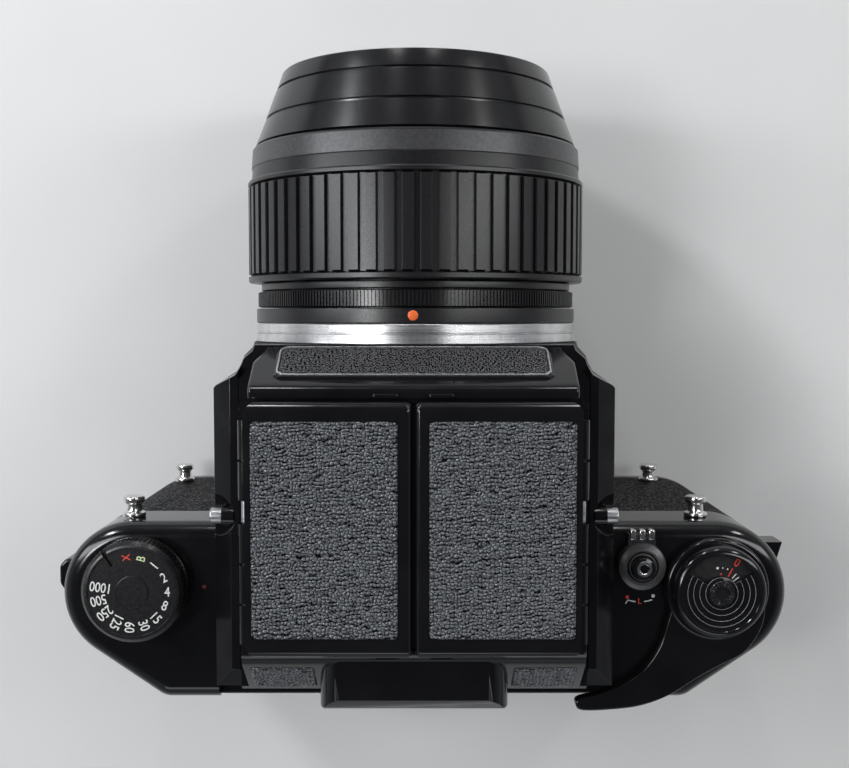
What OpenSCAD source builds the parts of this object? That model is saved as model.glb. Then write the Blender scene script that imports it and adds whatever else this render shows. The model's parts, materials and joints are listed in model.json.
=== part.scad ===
// Medium-format single-lens reflex camera with a folding waist-level hood.
// Origin: mouth of the tripod socket on the base. +Z up, lens toward -Y,
// +X toward the shutter dial. Sizes in millimetres.

/* [Body] */
// height of the lens axis above the base
axis_z = 47; // [46.5:0.5:48]
// distance from the lens flange to the film
flange_to_film = 85; // [83:0.5:87]
// film plane behind the front of the wings
film_y = 35; // [34.5:0.5:36]
// thickness of the back door
door_t = 9; // [8:0.5:10]
// width of the picture frame
gate_w = 70; // [64:1:72]
// height of the picture frame
gate_h = 55; // [50:1:56]
// half width of the mirror box
box_half = 49.2; // [48.8:0.1:49.6]
// thickness of the mirror box's side walls
box_wall = 12.2; // [11.8:0.1:12.6]
// floor of the mirror box
chamber_floor = 12; // [11:0.5:13]
// radius of the wing ends seen from above
end_r = 18; // [17.5:0.5:18.5]
// centre of the left wing end beyond the mirror box
left_wing = 21.8; // [21.5:0.1:24]
// centre of the right wing end beyond the mirror box
right_wing = 26.8; // [26.5:0.1:29]
// direction that the rear chamfer faces
chamfer_a = 55.5; // [54:0.5:57]
// thickness of the base cover
base_t = 4; // [3.8:0.1:4.4]
// lower edge of the top covers
skirt_z = 66; // [64:0.5:68]
// top of the wings
top_z = 84; // [83.5:0.5:85]
// rounding of the top covers
edge_r = 4; // [3:0.5:4.5]
// wall of the top covers
cover_t = 1.4; // [1.2:0.1:1.6]
// thickness of the leather
leather_t = 0.8; // [0.6:0.1:1]

/* [Finder] */
// height of the shoulders above the wings
shoulder_h = 8; // [7.5:0.5:9]
// width of the shoulders beside the hood
shoulder_w = 6.7; // [6.4:0.1:7]
// thickness of the focusing screen
screen_t = 1.8; // [1.4:0.2:1.8]
// place of the finder locks along the camera
lock_y = -3; // [-5:0.5:0]
// radius of the finder lock stems
stem_r = 1.2; // [1:0.1:1.3]
// radius of the finder lock buttons
lock_r = 2; // [1.6:0.1:2.1]

/* [Hood] */
// top of the hood side walls above the shoulders
hood_wall_h = 12.2; // [11.5:0.1:13]
// ledge of the hood outside its walls
hood_ledge = 2.1; // [1.8:0.1:2.4]
// thickness of the hood's side walls
hood_wall = 3.2; // [3:0.1:3.4]
// front of the flaps
flap_front = -32.4; // [-33:0.1:-31]
// rear of the flaps
flap_rear = 26.8; // [25:0.1:28]
// thickness of the flaps
flap_t = 3.2; // [2.8:0.1:3.6]
// radius of the hinge knuckles
knuckle_r = 1.5; // [1.4:0.1:1.6]
// radius of the hinge pins
hood_pin_r = 0.7; // [0.6:0.05:0.8]
// height of the leather above the flap
leather_rise = 0.6; // [0.4:0.1:0.8]
// half width of the hood in front of the flaps
nose_half = 38.1; // [37.8:0.1:38.3]
// half width of the nameplate
plate_half = 32; // [28:0.5:33]
// half width of the rear cover
rear_half = 22.4; // [20:0.2:24]

/* [Lens] */
// radius of the mount ring
mount_r = 43.4; // [43:0.1:43.8]
// depth of the mount ring
mount_t = 5.3; // [5:0.1:5.6]
// radius of the bayonet tube
bayonet_r = 33.2; // [32.8:0.1:33.6]
// radius of the journal under the rings
journal_r = 38; // [37.5:0.1:38.5]
// radius of the focus grip
grip_r = 46; // [45.6:0.1:46.4]
// length of the focus grip
grip_l = 27.2; // [26:0.2:28]
// length of the knurled aperture ring
knurl_l = 4.3; // [4:0.1:4.6]
// length of the tapered front
nose_l = 20; // [18:0.5:22]
// radius at the front of the nose
nose_r = 36.4; // [36:0.1:37.5]
// radius of the filter thread
filter_r = 33.5; // [33:0.1:34]

/* [Controls] */
// centre of the shutter dial beyond the mirror box
dial_out = 19.9; // [19:0.1:21]
// centre of the shutter dial behind the wing front
dial_y = 15.7; // [15:0.1:17]
// radius of the shutter dial
dial_r = 12.65; // [12:0.05:13]
// height of the shutter dial
dial_h = 7.3; // [6.5:0.1:8]
// centre of the counter and lever beyond the mirror box
counter_out = 25.9; // [25.8:0.1:26.6]
// centre of the counter and lever behind the wing front
counter_y = 15.9; // [15.5:0.1:16.5]
// radius of the lever hub
hub_r = 12.8; // [12.6:0.1:13]
// radius of the counter cover
counter_r = 11.4; // [11:0.1:11.8]
// centre of the release button beyond the mirror box
release_out = 7.3; // [6.9:0.1:7.6]
// centre of the release button behind the wing front
release_y = 10.3; // [10:0.1:11]
// radius of the release button
release_r = 2.9; // [2.7:0.05:3]
// radius of the lock collar
collar_r = 6; // [5.7:0.1:6.1]
// radius of the cable release thread
cable_r = 1.1; // [1:0.05:1.2]
// radius of the dial and take-up shafts
shaft_r = 2.5; // [2.2:0.1:2.8]

/* [Film] */
// centre of the supply spool beyond the mirror box
supply_out = 14.8; // [14.5:0.1:15.2]
// centre of the supply spool behind the wing front
supply_y = 19; // [18.5:0.1:19.5]
// radius of the supply chamber
supply_r = 13.4; // [13:0.1:13.6]
// place of the take-up spool behind the wing front
takeup_y = 17; // [16.6:0.1:17.4]
// radius of the take-up chamber
takeup_r = 13.2; // [13:0.1:13.3]
// radius of the spool flanges
flange_r = 12.3; // [12:0.1:12.5]
// radius of the spool core
core_r = 5.5; // [5:0.1:7]
// radius of the spool key shafts
key_r = 3; // [2.8:0.1:3.2]
// radius of the spool key knobs
knob_r = 8.8; // [8:0.1:9]

/* [Fittings] */
// radius of the tripod thread
tripod_r = 3.2; // [3.1:0.05:3.3]
// depth of the tripod thread
tripod_l = 6.5; // [5:0.5:6.5]
// radius of the tripod bush
bush_r = 7; // [6:0.2:8]
// place of the strap lugs beyond the mirror box
lug_out = 23.4; // [22:0.2:24]
// height of the upper strap lugs
lug_high = 74; // [72:0.5:76]
// height of the lower strap lugs
lug_low = 12; // [11:0.5:14]
// length of the strap lugs
lug_l = 5.4; // [5:0.1:6]
// radius of the strap lug shanks
shank_r = 1.45; // [1.2:0.05:1.5]
// radius of the mount screws
screw_r = 0.9; // [0.7:0.05:1]
// radius of the battery cover
battery_r = 8; // [7:0.2:9]
// radius of the door hinge pin
door_pin_r = 0.9; // [0.8:0.05:1]
// radius of the door hinge knuckles
door_knuckle_r = 2; // [1.9:0.1:2.2]
// radius of the mirror pin
mirror_pin_r = 1; // [0.8:0.1:1.1]
// length of the mirror
mirror_l = 64; // [60:1:65]

/* [Clearances] */
// radial clearance of a turning or sliding fit
fit = 0.06; // [0.04:0.01:0.09]
// radial clearance of a fixed fit
slip = 0.02; // [0.01:0.01:0.03]
// free space between parts that pass each other
gap = 0.3; // [0.3:0.05:0.4]

/* [Hidden] */
$fn = 72;
over = 1;
chamber_half = box_half - box_wall;
left_end = box_half + left_wing;
right_end = box_half + right_wing;
slot_half = box_half - shoulder_w;
hood_half = slot_half - hood_ledge;
hood_in = hood_half - hood_wall;
dial_at = [box_half + dial_out, dial_y];
counter_at = [-box_half - counter_out, counter_y];
release_at = [-box_half - release_out, release_y];
supply_at = [box_half + supply_out, supply_y];
lug_x = box_half + lug_out;
battery_at = [chamber_half - 7, -22];
flange_y = film_y - flange_to_film;
box_front = flange_y + mount_t;
door_y = film_y + 1;
back_y = door_y + door_t;
deck_z = top_z - 4;
ceiling_z = deck_z - 1.4;
spool_floor = 14;
seat_z = top_z;
screen_z = seat_z + 2;
hood_z = screen_z + screen_t + 0.2;
shoulder_z = top_z + shoulder_h;
seat_back = door_y + 4;
taper_y = box_front + 10.5;
front_half = mount_r + 1;
// hood
wall_z = shoulder_z + hood_wall_h;
pin_z = wall_z + knuckle_r + gap;
pin_x = hood_half - knuckle_r;
flap_z = pin_z + 0.2;
flap_top = flap_z + flap_t;
hood_front = box_front + 0.5;
hood_back = seat_back - 0.4;
slope_a = 30;
slope_l = (wall_z - shoulder_z + 0.8) / cos(slope_a);
lock_z = (hood_z + shoulder_z) / 2;
scoop_r = 0.75 * shoulder_w;
// lens stations, measured forward from the origin along the lens axis
st_flange = -flange_y;
st_index = st_flange + 3.7;
st_aperture = st_index + gap;
st_collar = st_aperture + knurl_l + gap;
st_grip = st_collar + 1.8 + gap;
st_scale = st_grip + grip_l;
st_nose = st_scale + 9 + 0.4;
st_front = st_nose + nose_l;
bore_r = journal_r - 2.6;
tube_r = bore_r - fit;
cell_r = tube_r - 4.2;
// shutter
slot_y = film_y - 3.6;
roller_r = 2.1;
roller_x = chamber_half + 7.2;
screen_y = [box_front + 11.7, slot_y + 0.6];
// mirror hinge, set so that screen and film are equally far from the lens
mirror_t = 2;
holder_t = 1.4;
mirror_face = mirror_t + 0.2;
mirror_half = chamber_half - 3;
mirror_z = screen_z - 9;
mirror_y = film_y - screen_z + mirror_z + mirror_face * sqrt(2);
// wind train
wind_teeth = 24;
drive_teeth = 16;
gear_m = 0.5;
gear_pitch = gear_m * (wind_teeth + drive_teeth) / 2 + 0.1;
takeup_at = [counter_at[0] + sqrt(pow(gear_pitch, 2) - pow(takeup_y - counter_at[1], 2)), takeup_y];
mesh_a = atan2(takeup_at[1] - counter_at[1], takeup_at[0] - counter_at[0]);
gear_z = deck_z + gap;
gear_t = 1.8;
post_r = 3;
sleeve_r = 6.9;
lever_z = top_z + 0.5;
lever_t = 3.7;
counter_z = lever_z + lever_t + gap;
// door hinge
door_in = door_y + 0.2;
hinge_x = -(chamfer_x(right_end, end_r, door_y) + 0.4);
hinge_y = door_y + 0.1;
knuckle_l = 9;
guide_t = 0.65;
knuckle_lo = 20;
knuckle_hi = 52;

paint = [0.06, 0.06, 0.07];
skin = [0.13, 0.13, 0.14];
alloy = [0.35, 0.36, 0.38];
silver = [0.75, 0.76, 0.78];
glass = [0.55, 0.7, 0.75];
brass = [0.72, 0.6, 0.3];

// box between two values on each axis
module slab(x, y, z)
  translate([x[0], y[0], z[0]]) cube([x[1] - x[0], y[1] - y[0], z[1] - z[0]]);

// cylinder upright, between two heights
module post(r, z, at = [0, 0])
  translate([at[0], at[1], z[0]]) cylinder(r = r, h = z[1] - z[0]);

// cylinder along X
module rod_x(r, x, y, z)
  translate([x[0], y, z]) rotate([0, 90, 0]) cylinder(r = r, h = x[1] - x[0]);

// cylinder along Y
module rod_y(r, y, x, z)
  translate([x, y[1], z]) rotate([90, 0, 0]) cylinder(r = r, h = y[1] - y[0]);

// left side as drawn, right side mirrored
module on_side(s) mirror([s < 0 ? 1 : 0, 0, 0]) children();

// forward along the lens axis
module on_lens() translate([0, 0, axis_z]) rotate([90, 0, 0]) children();

function about(c, a, b) = [c + a, c + b];
function end_of(s) = s > 0 ? left_end : right_end;
function arc(c, r, a, b, n) =
  [for (i = [0:n]) [c[0] + r * cos(a + (b - a) * i / n), c[1] + r * sin(a + (b - a) * i / n)]];
function chamfer_x(end_x, r, y) = end_x + (r - (y - end_r) * sin(chamfer_a)) / cos(chamfer_a);
function wing_pts(end_x, x_in, inset, y_back) = concat(
  [[x_in, inset]],
  arc([end_x, end_r], end_r - inset, -90, chamfer_a, 24),
  [[chamfer_x(end_x, end_r - inset, y_back), y_back], [x_in, y_back]]);

// upright prism of one wing
module wing(s, x_in, inset, y_back, z)
  on_side(s) translate([0, 0, z[0]]) linear_extrude(z[1] - z[0])
    polygon(wing_pts(end_of(s), x_in, inset, y_back));

// mirror box seen from above
module box_plan(half, y_back)
  polygon([[-half, y_back], [half, y_back], [half, taper_y], [front_half + 0.6, taper_y - 4],
    [front_half, box_front], [-front_half, box_front], [-front_half - 0.6, taper_y - 4],
    [-half, taper_y]]);

// what the two upper front corners of the mirror box lose
module corner_cuts() for (s = [1, -1]) on_side(s)
  translate([front_half - 4, 0, seat_z]) rotate([0, -8.5, 0]) translate([4 - front_half, 0, -45])
    translate([front_half, box_front, 0]) linear_extrude(90) polygon([[9, 12.3], [-0.1, 7.1], [-1.5, 5],
      [-2.1, 3.3], [-4.3, 1.4], [-4.8, 0.2], [-4.8, -5], [15, -5], [15, 12.3]]);

// gear with straight-sided teeth
module gear(teeth, turn, z) {
  pitch_r = gear_m * teeth / 2;
  step = 360 / teeth;
  root = pitch_r - 1.2 * gear_m;
  tip = pitch_r + 0.85 * gear_m;
  translate([0, 0, z[0]]) linear_extrude(z[1] - z[0]) polygon([for (i = [0:teeth - 1])
    for (k = [[root, -0.33], [tip, -0.09], [tip, 0.09], [root, 0.33]])
      k[0] * [cos(turn + (i + k[1]) * step), sin(turn + (i + k[1]) * step)]]);
}

module mount_screw_places() for (i = [0:5]) rotate(60 * i)
  translate([(bayonet_r + mount_r) / 2, 0, 0]) children();

module door_knuckle(z, r) post(r, z, [hinge_x, hinge_y]);

module body_casting() color(alloy) difference() {
  union() {
    for (s = [1, -1]) {
      wing(s, box_half - over, leather_t, door_y, [base_t, skirt_z - gap]);
      wing(s, box_half - over, cover_t + 0.4, door_y, [base_t, deck_z]);
    }
    translate([0, 0, base_t]) linear_extrude(seat_z - base_t) box_plan(box_half, door_y);
    for (z = [[8, knuckle_lo - gap / 2], [knuckle_hi + gap / 2, skirt_z - 2]]) {
      door_knuckle(z, door_knuckle_r);
      slab([hinge_x, hinge_x + 6], [hinge_y - door_knuckle_r + 0.4, door_y], z);
    }
  }
  corner_cuts();
  // mirror chamber, throat and picture gate
  slab([-chamber_half, chamber_half], [box_front + 3.7, slot_y + 0.1], [chamber_floor, seat_z + over]);
  rod_y(bayonet_r + 0.8, [box_front - over, box_front + 5], 0, axis_z);
  slab([-gate_w / 2, gate_w / 2], [slot_y, door_y + over], about(axis_z, -gate_h / 2, gate_h / 2));
  slab([takeup_at[0] + 10, supply_at[0] - 10], [film_y, door_y + over], [spool_floor, ceiling_z]);
  // shutter slot and roller pockets
  slab([-roller_x, roller_x], [slot_y, slot_y + 1.8], [13, deck_z + 0.6]);
  for (s = [1, -1]) on_side(s)
    slab([roller_x - 2.6, roller_x + 2.6], [slot_y - 2.8, slot_y + 2.6], [13, deck_z + 0.6]);
  // spool chambers, open to the back
  post(supply_r, [spool_floor, ceiling_z], supply_at);
  slab(about(supply_at[0], -12, 8), [supply_at[1], door_y + over], [spool_floor, ceiling_z]);
  post(takeup_r, [spool_floor, ceiling_z], takeup_at);
  slab(about(takeup_at[0], -11, 12), [takeup_at[1], door_y + over], [spool_floor, ceiling_z]);
  for (at = [supply_at, takeup_at]) post(key_r + fit, [base_t - over, spool_floor + over], at);
  // holes for shafts and pins
  post(shaft_r + fit, [ceiling_z - over, deck_z + over], takeup_at);
  post(shaft_r + fit, [ceiling_z - over, deck_z + over], dial_at);
  post(post_r + slip, [ceiling_z - over, deck_z + over], counter_at);
  rod_x(mirror_pin_r + slip, [-chamber_half - 2.6, chamber_half + 2.6], mirror_y, mirror_z);
  door_knuckle([base_t - over, skirt_z], door_pin_r + slip);
  door_knuckle([knuckle_lo - gap / 2, knuckle_hi + gap / 2], door_knuckle_r + gap);
  post(bush_r + slip, [base_t - over, tripod_l + 1.7]);
  // lens release, door latch, screws and strap lugs
  rod_x(2 + fit, [chamber_half + 4, box_half + over], box_front + 14.7, axis_z - 7);
  slab([left_end + end_r - 5, left_end + end_r + over], about(end_r, -1.9, 1.9), [27.5, 40.3]);
  on_lens() translate([0, 0, st_flange - mount_t - 3]) mount_screw_places()
    cylinder(r = screw_r + slip, h = 5);
  lug_places() translate([0, 0, -4.2]) cylinder(r = shank_r + slip, h = 6);
}

module lug_places() for (s = [1, -1]) for (z = [lug_low, lug_high])
  translate([s * lug_x, 0, z]) rotate([90, 0, 0]) children();

module top_cover(s) difference() {
  hull() {
    on_side(s) translate([0, 0, skirt_z]) linear_extrude(0.02)
      polygon(wing_pts(end_of(s), box_half + 0.2, 0, back_y));
    for (t = [0:18:90]) let (in = edge_r * (1 - cos(t)))
      on_side(s) translate([0, 0, top_z - edge_r + edge_r * sin(t) - 0.02]) linear_extrude(0.02)
        polygon(wing_pts(end_of(s), box_half + 0.2, in, back_y - in));
  }
  wing(s, box_half - over, cover_t, door_y, [skirt_z - over, deck_z + 0.4]);
  wing(s, box_half - over, cover_t + 1.8, door_y - 2, [skirt_z - over, top_z - cover_t]);
  on_side(s)
    slab([box_half - over, end_of(s) + end_r], [door_y - 0.2, back_y + over], [skirt_z - over, deck_z + 0.3]);
  lug_places() translate([0, 0, -4.2]) cylinder(r = shank_r + slip, h = 6);
}

module top_cover_left() color(paint) difference() {
  union() {
    top_cover(1);
    post(4.2, [top_z - cover_t - 0.4, top_z - 0.1], dial_at);
  }
  post(shaft_r + fit, [deck_z, top_z + over], dial_at);
}

module top_cover_right() color(paint) difference() {
  union() {
    top_cover(-1);
    post(release_r + fit + guide_t, [top_z - cover_t, lever_z + lever_t], release_at);
  }
  post(release_r + fit, [deck_z, shoulder_z], release_at);
  post(sleeve_r + fit, [deck_z, top_z + over], counter_at);
}

module base_cover() color(paint) difference() {
  union() {
    for (s = [1, -1]) wing(s, box_half - over, 0, door_y - 0.2, [0, base_t]);
    linear_extrude(base_t) box_plan(box_half, door_y - 0.2);
  }
  post(bush_r + slip, [-over, base_t + over]);
  for (at = [supply_at, takeup_at]) {
    post(knob_r + gap, [-over, 3], at);
    post(key_r + fit, [0, base_t + over], at);
  }
  post(battery_r + slip, [-over, base_t + over], battery_at);
}

module finder_seat() color(paint) difference() {
  translate([0, 0, seat_z]) linear_extrude(shoulder_h) box_plan(box_half, seat_back);
  corner_cuts();
  slab([-slot_half, slot_half], [box_front - over, seat_back + over], [hood_z, shoulder_z + over]);
  slab([-chamber_half - 0.5, chamber_half + 0.5], [screen_y[0] - 0.5, screen_y[1] + 0.5],
    [screen_z, shoulder_z]);
  slab([-mirror_half, mirror_half], [screen_y[0] + 3, screen_y[1] - 2.5], [seat_z - over, shoulder_z]);
  // rear slope of the shoulders
  translate([0, seat_back - 5.4, shoulder_z]) rotate([-38, 0, 0])
    slab([-box_half - over, box_half + over], [0, 12], [0, 12]);
  for (s = [1, -1]) on_side(s) {
    post(scoop_r, [hood_z - 0.6, shoulder_z + over], [box_half - 0.6, lock_y]);
    rod_x(stem_r + fit, [slot_half - over, box_half], lock_y, lock_z);
  }
}

module leather(s) color(skin) difference() {
  wing(s, box_half + 0.4, 0, door_y, [base_t + 0.6, skirt_z - 0.4]);
  wing(s, box_half - over, leather_t, door_y + 0.5, [0, skirt_z]);
  on_side(s) slab([0, end_of(s) + end_r + over], [end_r - 10, back_y], [0, skirt_z]);
  lug_places() translate([0, 0, -4.2]) cylinder(r = shank_r + slip, h = 6);
}

module leather_left() leather(1);

module leather_right() leather(-1);

module mount_ring() color(silver) on_lens() difference() {
  union() {
    translate([0, 0, st_flange - mount_t]) cylinder(r = mount_r, h = mount_t);
    for (a = [62, 182, 302]) rotate(a) intersection() {
      translate([0, 0, st_flange - mount_t / 2]) cylinder(r = mount_r + 0.7, h = mount_t / 2 - 0.3);
      translate([0, 0, st_flange - mount_t]) linear_extrude(mount_t)
        polygon([[0, 0], [60, 0], [60, 60], [40.5, 60]]);
    }
  }
  translate([0, 0, st_flange - mount_t - over]) cylinder(r = bayonet_r + 0.2, h = mount_t + 2 * over);
  translate([0, 0, st_flange - mount_t - over]) mount_screw_places()
    cylinder(r = screw_r + slip, h = mount_t + 2);
  translate([0, 0, st_flange - 1.4]) mount_screw_places() cylinder(r = screw_r + 0.8, h = 2);
}

module mount_screws() color(silver) on_lens() mount_screw_places() {
  translate([0, 0, st_flange - mount_t - 2.8]) cylinder(r = screw_r, h = mount_t + 2);
  translate([0, 0, st_flange - 1.38]) cylinder(r = screw_r + 0.7, h = 1.2);
}

module strap_lugs() color(silver) lug_places() rotate_extrude()
  polygon([[0, -3.9], [shank_r, -3.9], [shank_r, 0.1], [3, 0.1], [3, 1.1], [2, 1.5],
    [1.9, lug_l - 2], [2.7, lug_l - 1.5], [2.7, lug_l - 0.4], [2.3, lug_l], [0, lug_l]]);

module tripod_bush() color(brass) difference() {
  post(bush_r, [0, tripod_l + 1.5]);
  post(tripod_r, [-over, tripod_l]);
}

module sync_block() color(paint) difference() {
  slab([left_end + end_r - 3, left_end + end_r + 3], about(end_r, -7, 3), [47, 61]);
  wing(1, box_half, leather_t, door_y, [0, skirt_z]);
  for (z = [50.5, 57.5]) rod_x(1.6, about(left_end + end_r, 0.6, 3 + over), end_r - 2, z);
}

module corner_plate() color(paint) difference() {
  translate([0, 0, 57]) linear_extrude(8.4) polygon([[-right_end - end_r + 4, end_r - 9.5],
    [-right_end - end_r - 4, end_r - 9.5], [-right_end - end_r - 2, end_r - 3],
    [-right_end - end_r + 1, end_r + 3], [-right_end - end_r + 4, end_r + 3]]);
  wing(-1, box_half, leather_t, door_y, [0, skirt_z]);
}

module battery_cover() color(silver) difference() {
  post(battery_r, [0, base_t - 0.3], battery_at);
  translate([battery_at[0], battery_at[1], 0]) slab([-6, 6], [-0.9, 0.9], [-over, 1.2]);
}

module focusing_screen() color(glass)
  slab([-chamber_half, chamber_half], screen_y, [screen_z, screen_z + screen_t]);

module shutter_curtains() color(skin)
  slab([-roller_x + roller_r + 0.2, roller_x - roller_r - 0.2], [slot_y + 0.8, slot_y + 1.2], [14, deck_z]);

module shutter_rollers() color(silver) for (s = [1, -1])
  post(roller_r, [13.3, deck_z + 0.3], [s * roller_x, slot_y]);

module mirror_pin() color(silver)
  rod_x(mirror_pin_r, [-chamber_half - 2.5, chamber_half + 2.5], mirror_y, mirror_z);

module door_pin() color(silver) door_knuckle([8, skirt_z - 2], door_pin_r);

module counter_post() color(silver)
  post(post_r, [ceiling_z + 0.1, counter_z + 3.2], counter_at);

module counter_cover() color(paint) translate([counter_at[0], counter_at[1], 0]) difference() {
  post(counter_r, [counter_z, counter_z + 3.4]);
  post(counter_r - 0.8, [counter_z - over, counter_z + 1.9]);
  post(post_r + slip, [counter_z, counter_z + 5]);
  // window over the numbers, on the lens side
  translate([0, 0, counter_z]) linear_extrude(5) difference() {
    polygon(concat(arc([0, 0], 9.8, -147, -32, 24), arc([0, 0], 4, -32, -147, 12)));
  }
}

module counter_screw() color(silver) translate([counter_at[0], counter_at[1], counter_z + 3.4])
  difference() {
    cylinder(r = 3.2, h = 1);
    translate([0, 0, 0.5]) linear_extrude(1) square([8, 0.7], center = true);
  }

module hood_profile(half)
  translate([half, 0, 0]) rotate([90, 0, -90]) linear_extrude(2 * half) polygon([
    [-hood_front, hood_z], [-hood_front, shoulder_z - 0.4],
    [-hood_front - slope_l * sin(slope_a), shoulder_z - 0.4 + slope_l * cos(slope_a)],
    [-hood_front - slope_l * sin(slope_a) - 1.3, wall_z + 1.8], [-flap_front + 2.4, wall_z + 2.3],
    [-flap_front + 0.6, wall_z + 1.9], [-flap_front + 0.6, wall_z], [-flap_rear - 0.6, wall_z],
    [-flap_rear - 3.5, wall_z - 1.6], [-hood_back, shoulder_z - 0.6], [-hood_back, hood_z]]);

module hood_knuckle_rows() for (y = [-28, -4, 15]) translate([0, y, 0]) children();

module hood_base() color(paint) difference() {
  union() {
    intersection() {
      hood_profile(slot_half - gap);
      translate([0, 0, hood_z]) linear_extrude(40) polygon([[-slot_half, hood_back], [slot_half, hood_back],
        [slot_half, taper_y - 2], [nose_half, hood_front + 3.4], [nose_half - 2.8, hood_front],
        [-nose_half + 2.8, hood_front], [-nose_half, hood_front + 3.4], [-slot_half, taper_y - 2]]);
      union() {
        slab([-slot_half, slot_half], [hood_front, hood_back], [hood_z, shoulder_z + 0.6]);
        slab([-hood_half, hood_half], [flap_front + 0.8, hood_back], [hood_z, wall_z + 4]);
        translate([0, 0, hood_z]) linear_extrude(wall_z + 4 - hood_z) polygon([[-nose_half, flap_front + 1],
          [-nose_half, hood_front + 3.6], [-nose_half + 0.8, hood_front + 1.2], [-nose_half + 2.8, hood_front],
          [nose_half - 2.8, hood_front], [nose_half - 0.8, hood_front + 1.2], [nose_half, hood_front + 3.6],
          [nose_half, flap_front + 1]]);
      }
    }
    for (s = [1, -1]) on_side(s) hood_knuckle_rows() {
      rod_y(knuckle_r, [0, knuckle_l], pin_x, pin_z);
      slab([pin_x - 0.6, pin_x + knuckle_r - 0.2], [0, knuckle_l], [wall_z - over, pin_z]);
    }
  }
  slab([-hood_in, hood_in], [flap_front + 0.8, flap_rear - 0.4], [hood_z - over, wall_z + 5]);
  for (s = [1, -1]) on_side(s) {
    rod_y(hood_pin_r + slip, [flap_front - over, flap_rear], pin_x, pin_z);
    rod_x(stem_r + 0.4, [hood_in + 1.4, slot_half + over], lock_y, lock_z);
  }
}

module nameplate() color(skin) translate([0, hood_front, shoulder_z - 0.4]) rotate([90 - slope_a, 0, 0])
  linear_extrude(0.8) polygon(concat(
    arc([-plate_half + 2.3, 3.3], 2.3, 180, 270, 6), arc([plate_half - 2.3, 3.3], 2.3, 270, 360, 6),
    [[plate_half, slope_l - 2.7], [plate_half - 1.2, slope_l - 1.5], [-plate_half + 1.2, slope_l - 1.5],
    [-plate_half, slope_l - 2.7]]));

module hood_pins() color(silver) for (s = [1, -1])
  rod_y(hood_pin_r, [-28, 24], s * pin_x, pin_z);

module hood_rear_cover() color(paint) difference() {
  slab([-rear_half, rear_half], [flap_rear + 1.4, hood_back + 1.8], [hood_z + 0.4, wall_z - 1]);
  hood_profile(slot_half);
  translate([0, hood_back + 1.8, wall_z - 1]) rotate([45, 0, 0]) cube([60, 4, 4], center = true);
}

module hood_walls() color(paint) {
  slab([0.3 - hood_in, hood_in - 0.3], [flap_front + 1.1, -3], [wall_z - 2, wall_z - 1]);
  slab([0.3 - hood_in, hood_in - 0.3], [-2, flap_rear - 0.7], [wall_z - 2, wall_z - 1]);
}

module magnifier_frame() color(paint) difference() {
  union() {
    post(14, [wall_z - 7, wall_z - 4], [0, -3]);
    slab([0.3 - hood_in, hood_in - 0.3], [-6, 0], [wall_z - 6, wall_z - 5]);
  }
  post(12.2, [wall_z - 8, wall_z - 3], [0, -3]);
}

module magnifier_lens() color(glass) translate([0, -3, wall_z - 5.5]) rotate_extrude()
  polygon(concat(arc([0, -48], 50, 76, 90, 6), arc([0, 48], 50, 270, 284, 6)));

module lens_barrel() color(paint) on_lens() rotate_extrude() polygon([
  [bayonet_r - 1.7, st_flange - 7], [bayonet_r, st_flange - 7], [bayonet_r, st_flange],
  [mount_r + 0.5, st_flange], [mount_r + 0.5, st_index], [journal_r, st_index],
  [journal_r, st_collar], [journal_r + 4.6, st_collar], [journal_r + 4.6, st_collar + 1.8],
  [journal_r, st_collar + 1.8], [journal_r, st_scale + 2], [bore_r, st_scale + 2],
  [bore_r, st_flange + 4], [bayonet_r - 1.7, st_flange + 4]]);

// mirror as it lies when raised, then turned down to rest
module mirror_rest() translate([0, mirror_y, mirror_z]) rotate([45, 0, 0]) children();

module mirror_glass() color(silver) mirror_rest()
  slab([0.5 - mirror_half, mirror_half - 0.5], [-mirror_l, -4], [mirror_face - mirror_t, mirror_face]);

module mirror_holder() color(paint) mirror_rest() difference() {
  union() {
    slab([-mirror_half, mirror_half], [-mirror_l, -2.4], about(mirror_face - mirror_t, -holder_t, 0));
    for (x = [4 - mirror_half, mirror_half - 12]) {
      rod_x(2, [x, x + 8], 0, 0);
      slab([x, x + 8], [-4, 0], about(mirror_face - mirror_t, -holder_t, -0.2));
    }
  }
  rod_x(mirror_pin_r + fit, [-chamber_half, chamber_half], 0, 0);
}

module back_door() color(paint) difference() {
  union() {
    translate([0, 0, 1]) linear_extrude(deck_z - 1.2) polygon([
      [chamfer_x(left_end, end_r, door_in), door_in], [chamfer_x(left_end, end_r, back_y), back_y],
      [-chamfer_x(right_end, end_r, back_y), back_y], [-chamfer_x(right_end, end_r, door_in), door_in]]);
    door_knuckle([knuckle_lo + gap / 2, knuckle_hi - gap / 2], door_knuckle_r);
    slab([hinge_x, hinge_x + 4], [door_in + 0.1, hinge_y + door_knuckle_r - 0.4],
      [knuckle_lo + gap / 2, knuckle_hi - gap / 2]);
  }
  slab([takeup_at[0] + 5, supply_at[0] - 6], [door_in - over, back_y - 1.8], [8, deck_z - 6]);
  slab([-box_half, box_half], [door_in - over, door_in + 1.6], [7, deck_z - 1.6]);
  door_knuckle([0, 100], door_pin_r + fit);
  for (z = [[0, knuckle_lo + gap / 2], [knuckle_hi - gap / 2, 100]])
    door_knuckle(z, door_knuckle_r + gap);
}

module pressure_plate() color(skin)
  slab(about(0, -gate_w / 2 - 5, gate_w / 2 + 5), about(film_y + gap, 0, 1.4),
    [spool_floor + 2, ceiling_z - 0.6]);

module plate_springs() color(silver) for (z = [axis_z - 18, axis_z + 12]) translate([0, 0, z])
  linear_extrude(6) let (a = film_y + gap + 1.45, b = back_y - 1.85)
    polygon([[-34, b - 0.5], [-34, b], [-22, b], [-8, a + 0.5], [8, a + 0.5], [22, b], [34, b],
      [34, b - 0.5], [22.4, b - 0.5], [8.2, a], [-8.2, a], [-22.4, b - 0.5]]);

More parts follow.
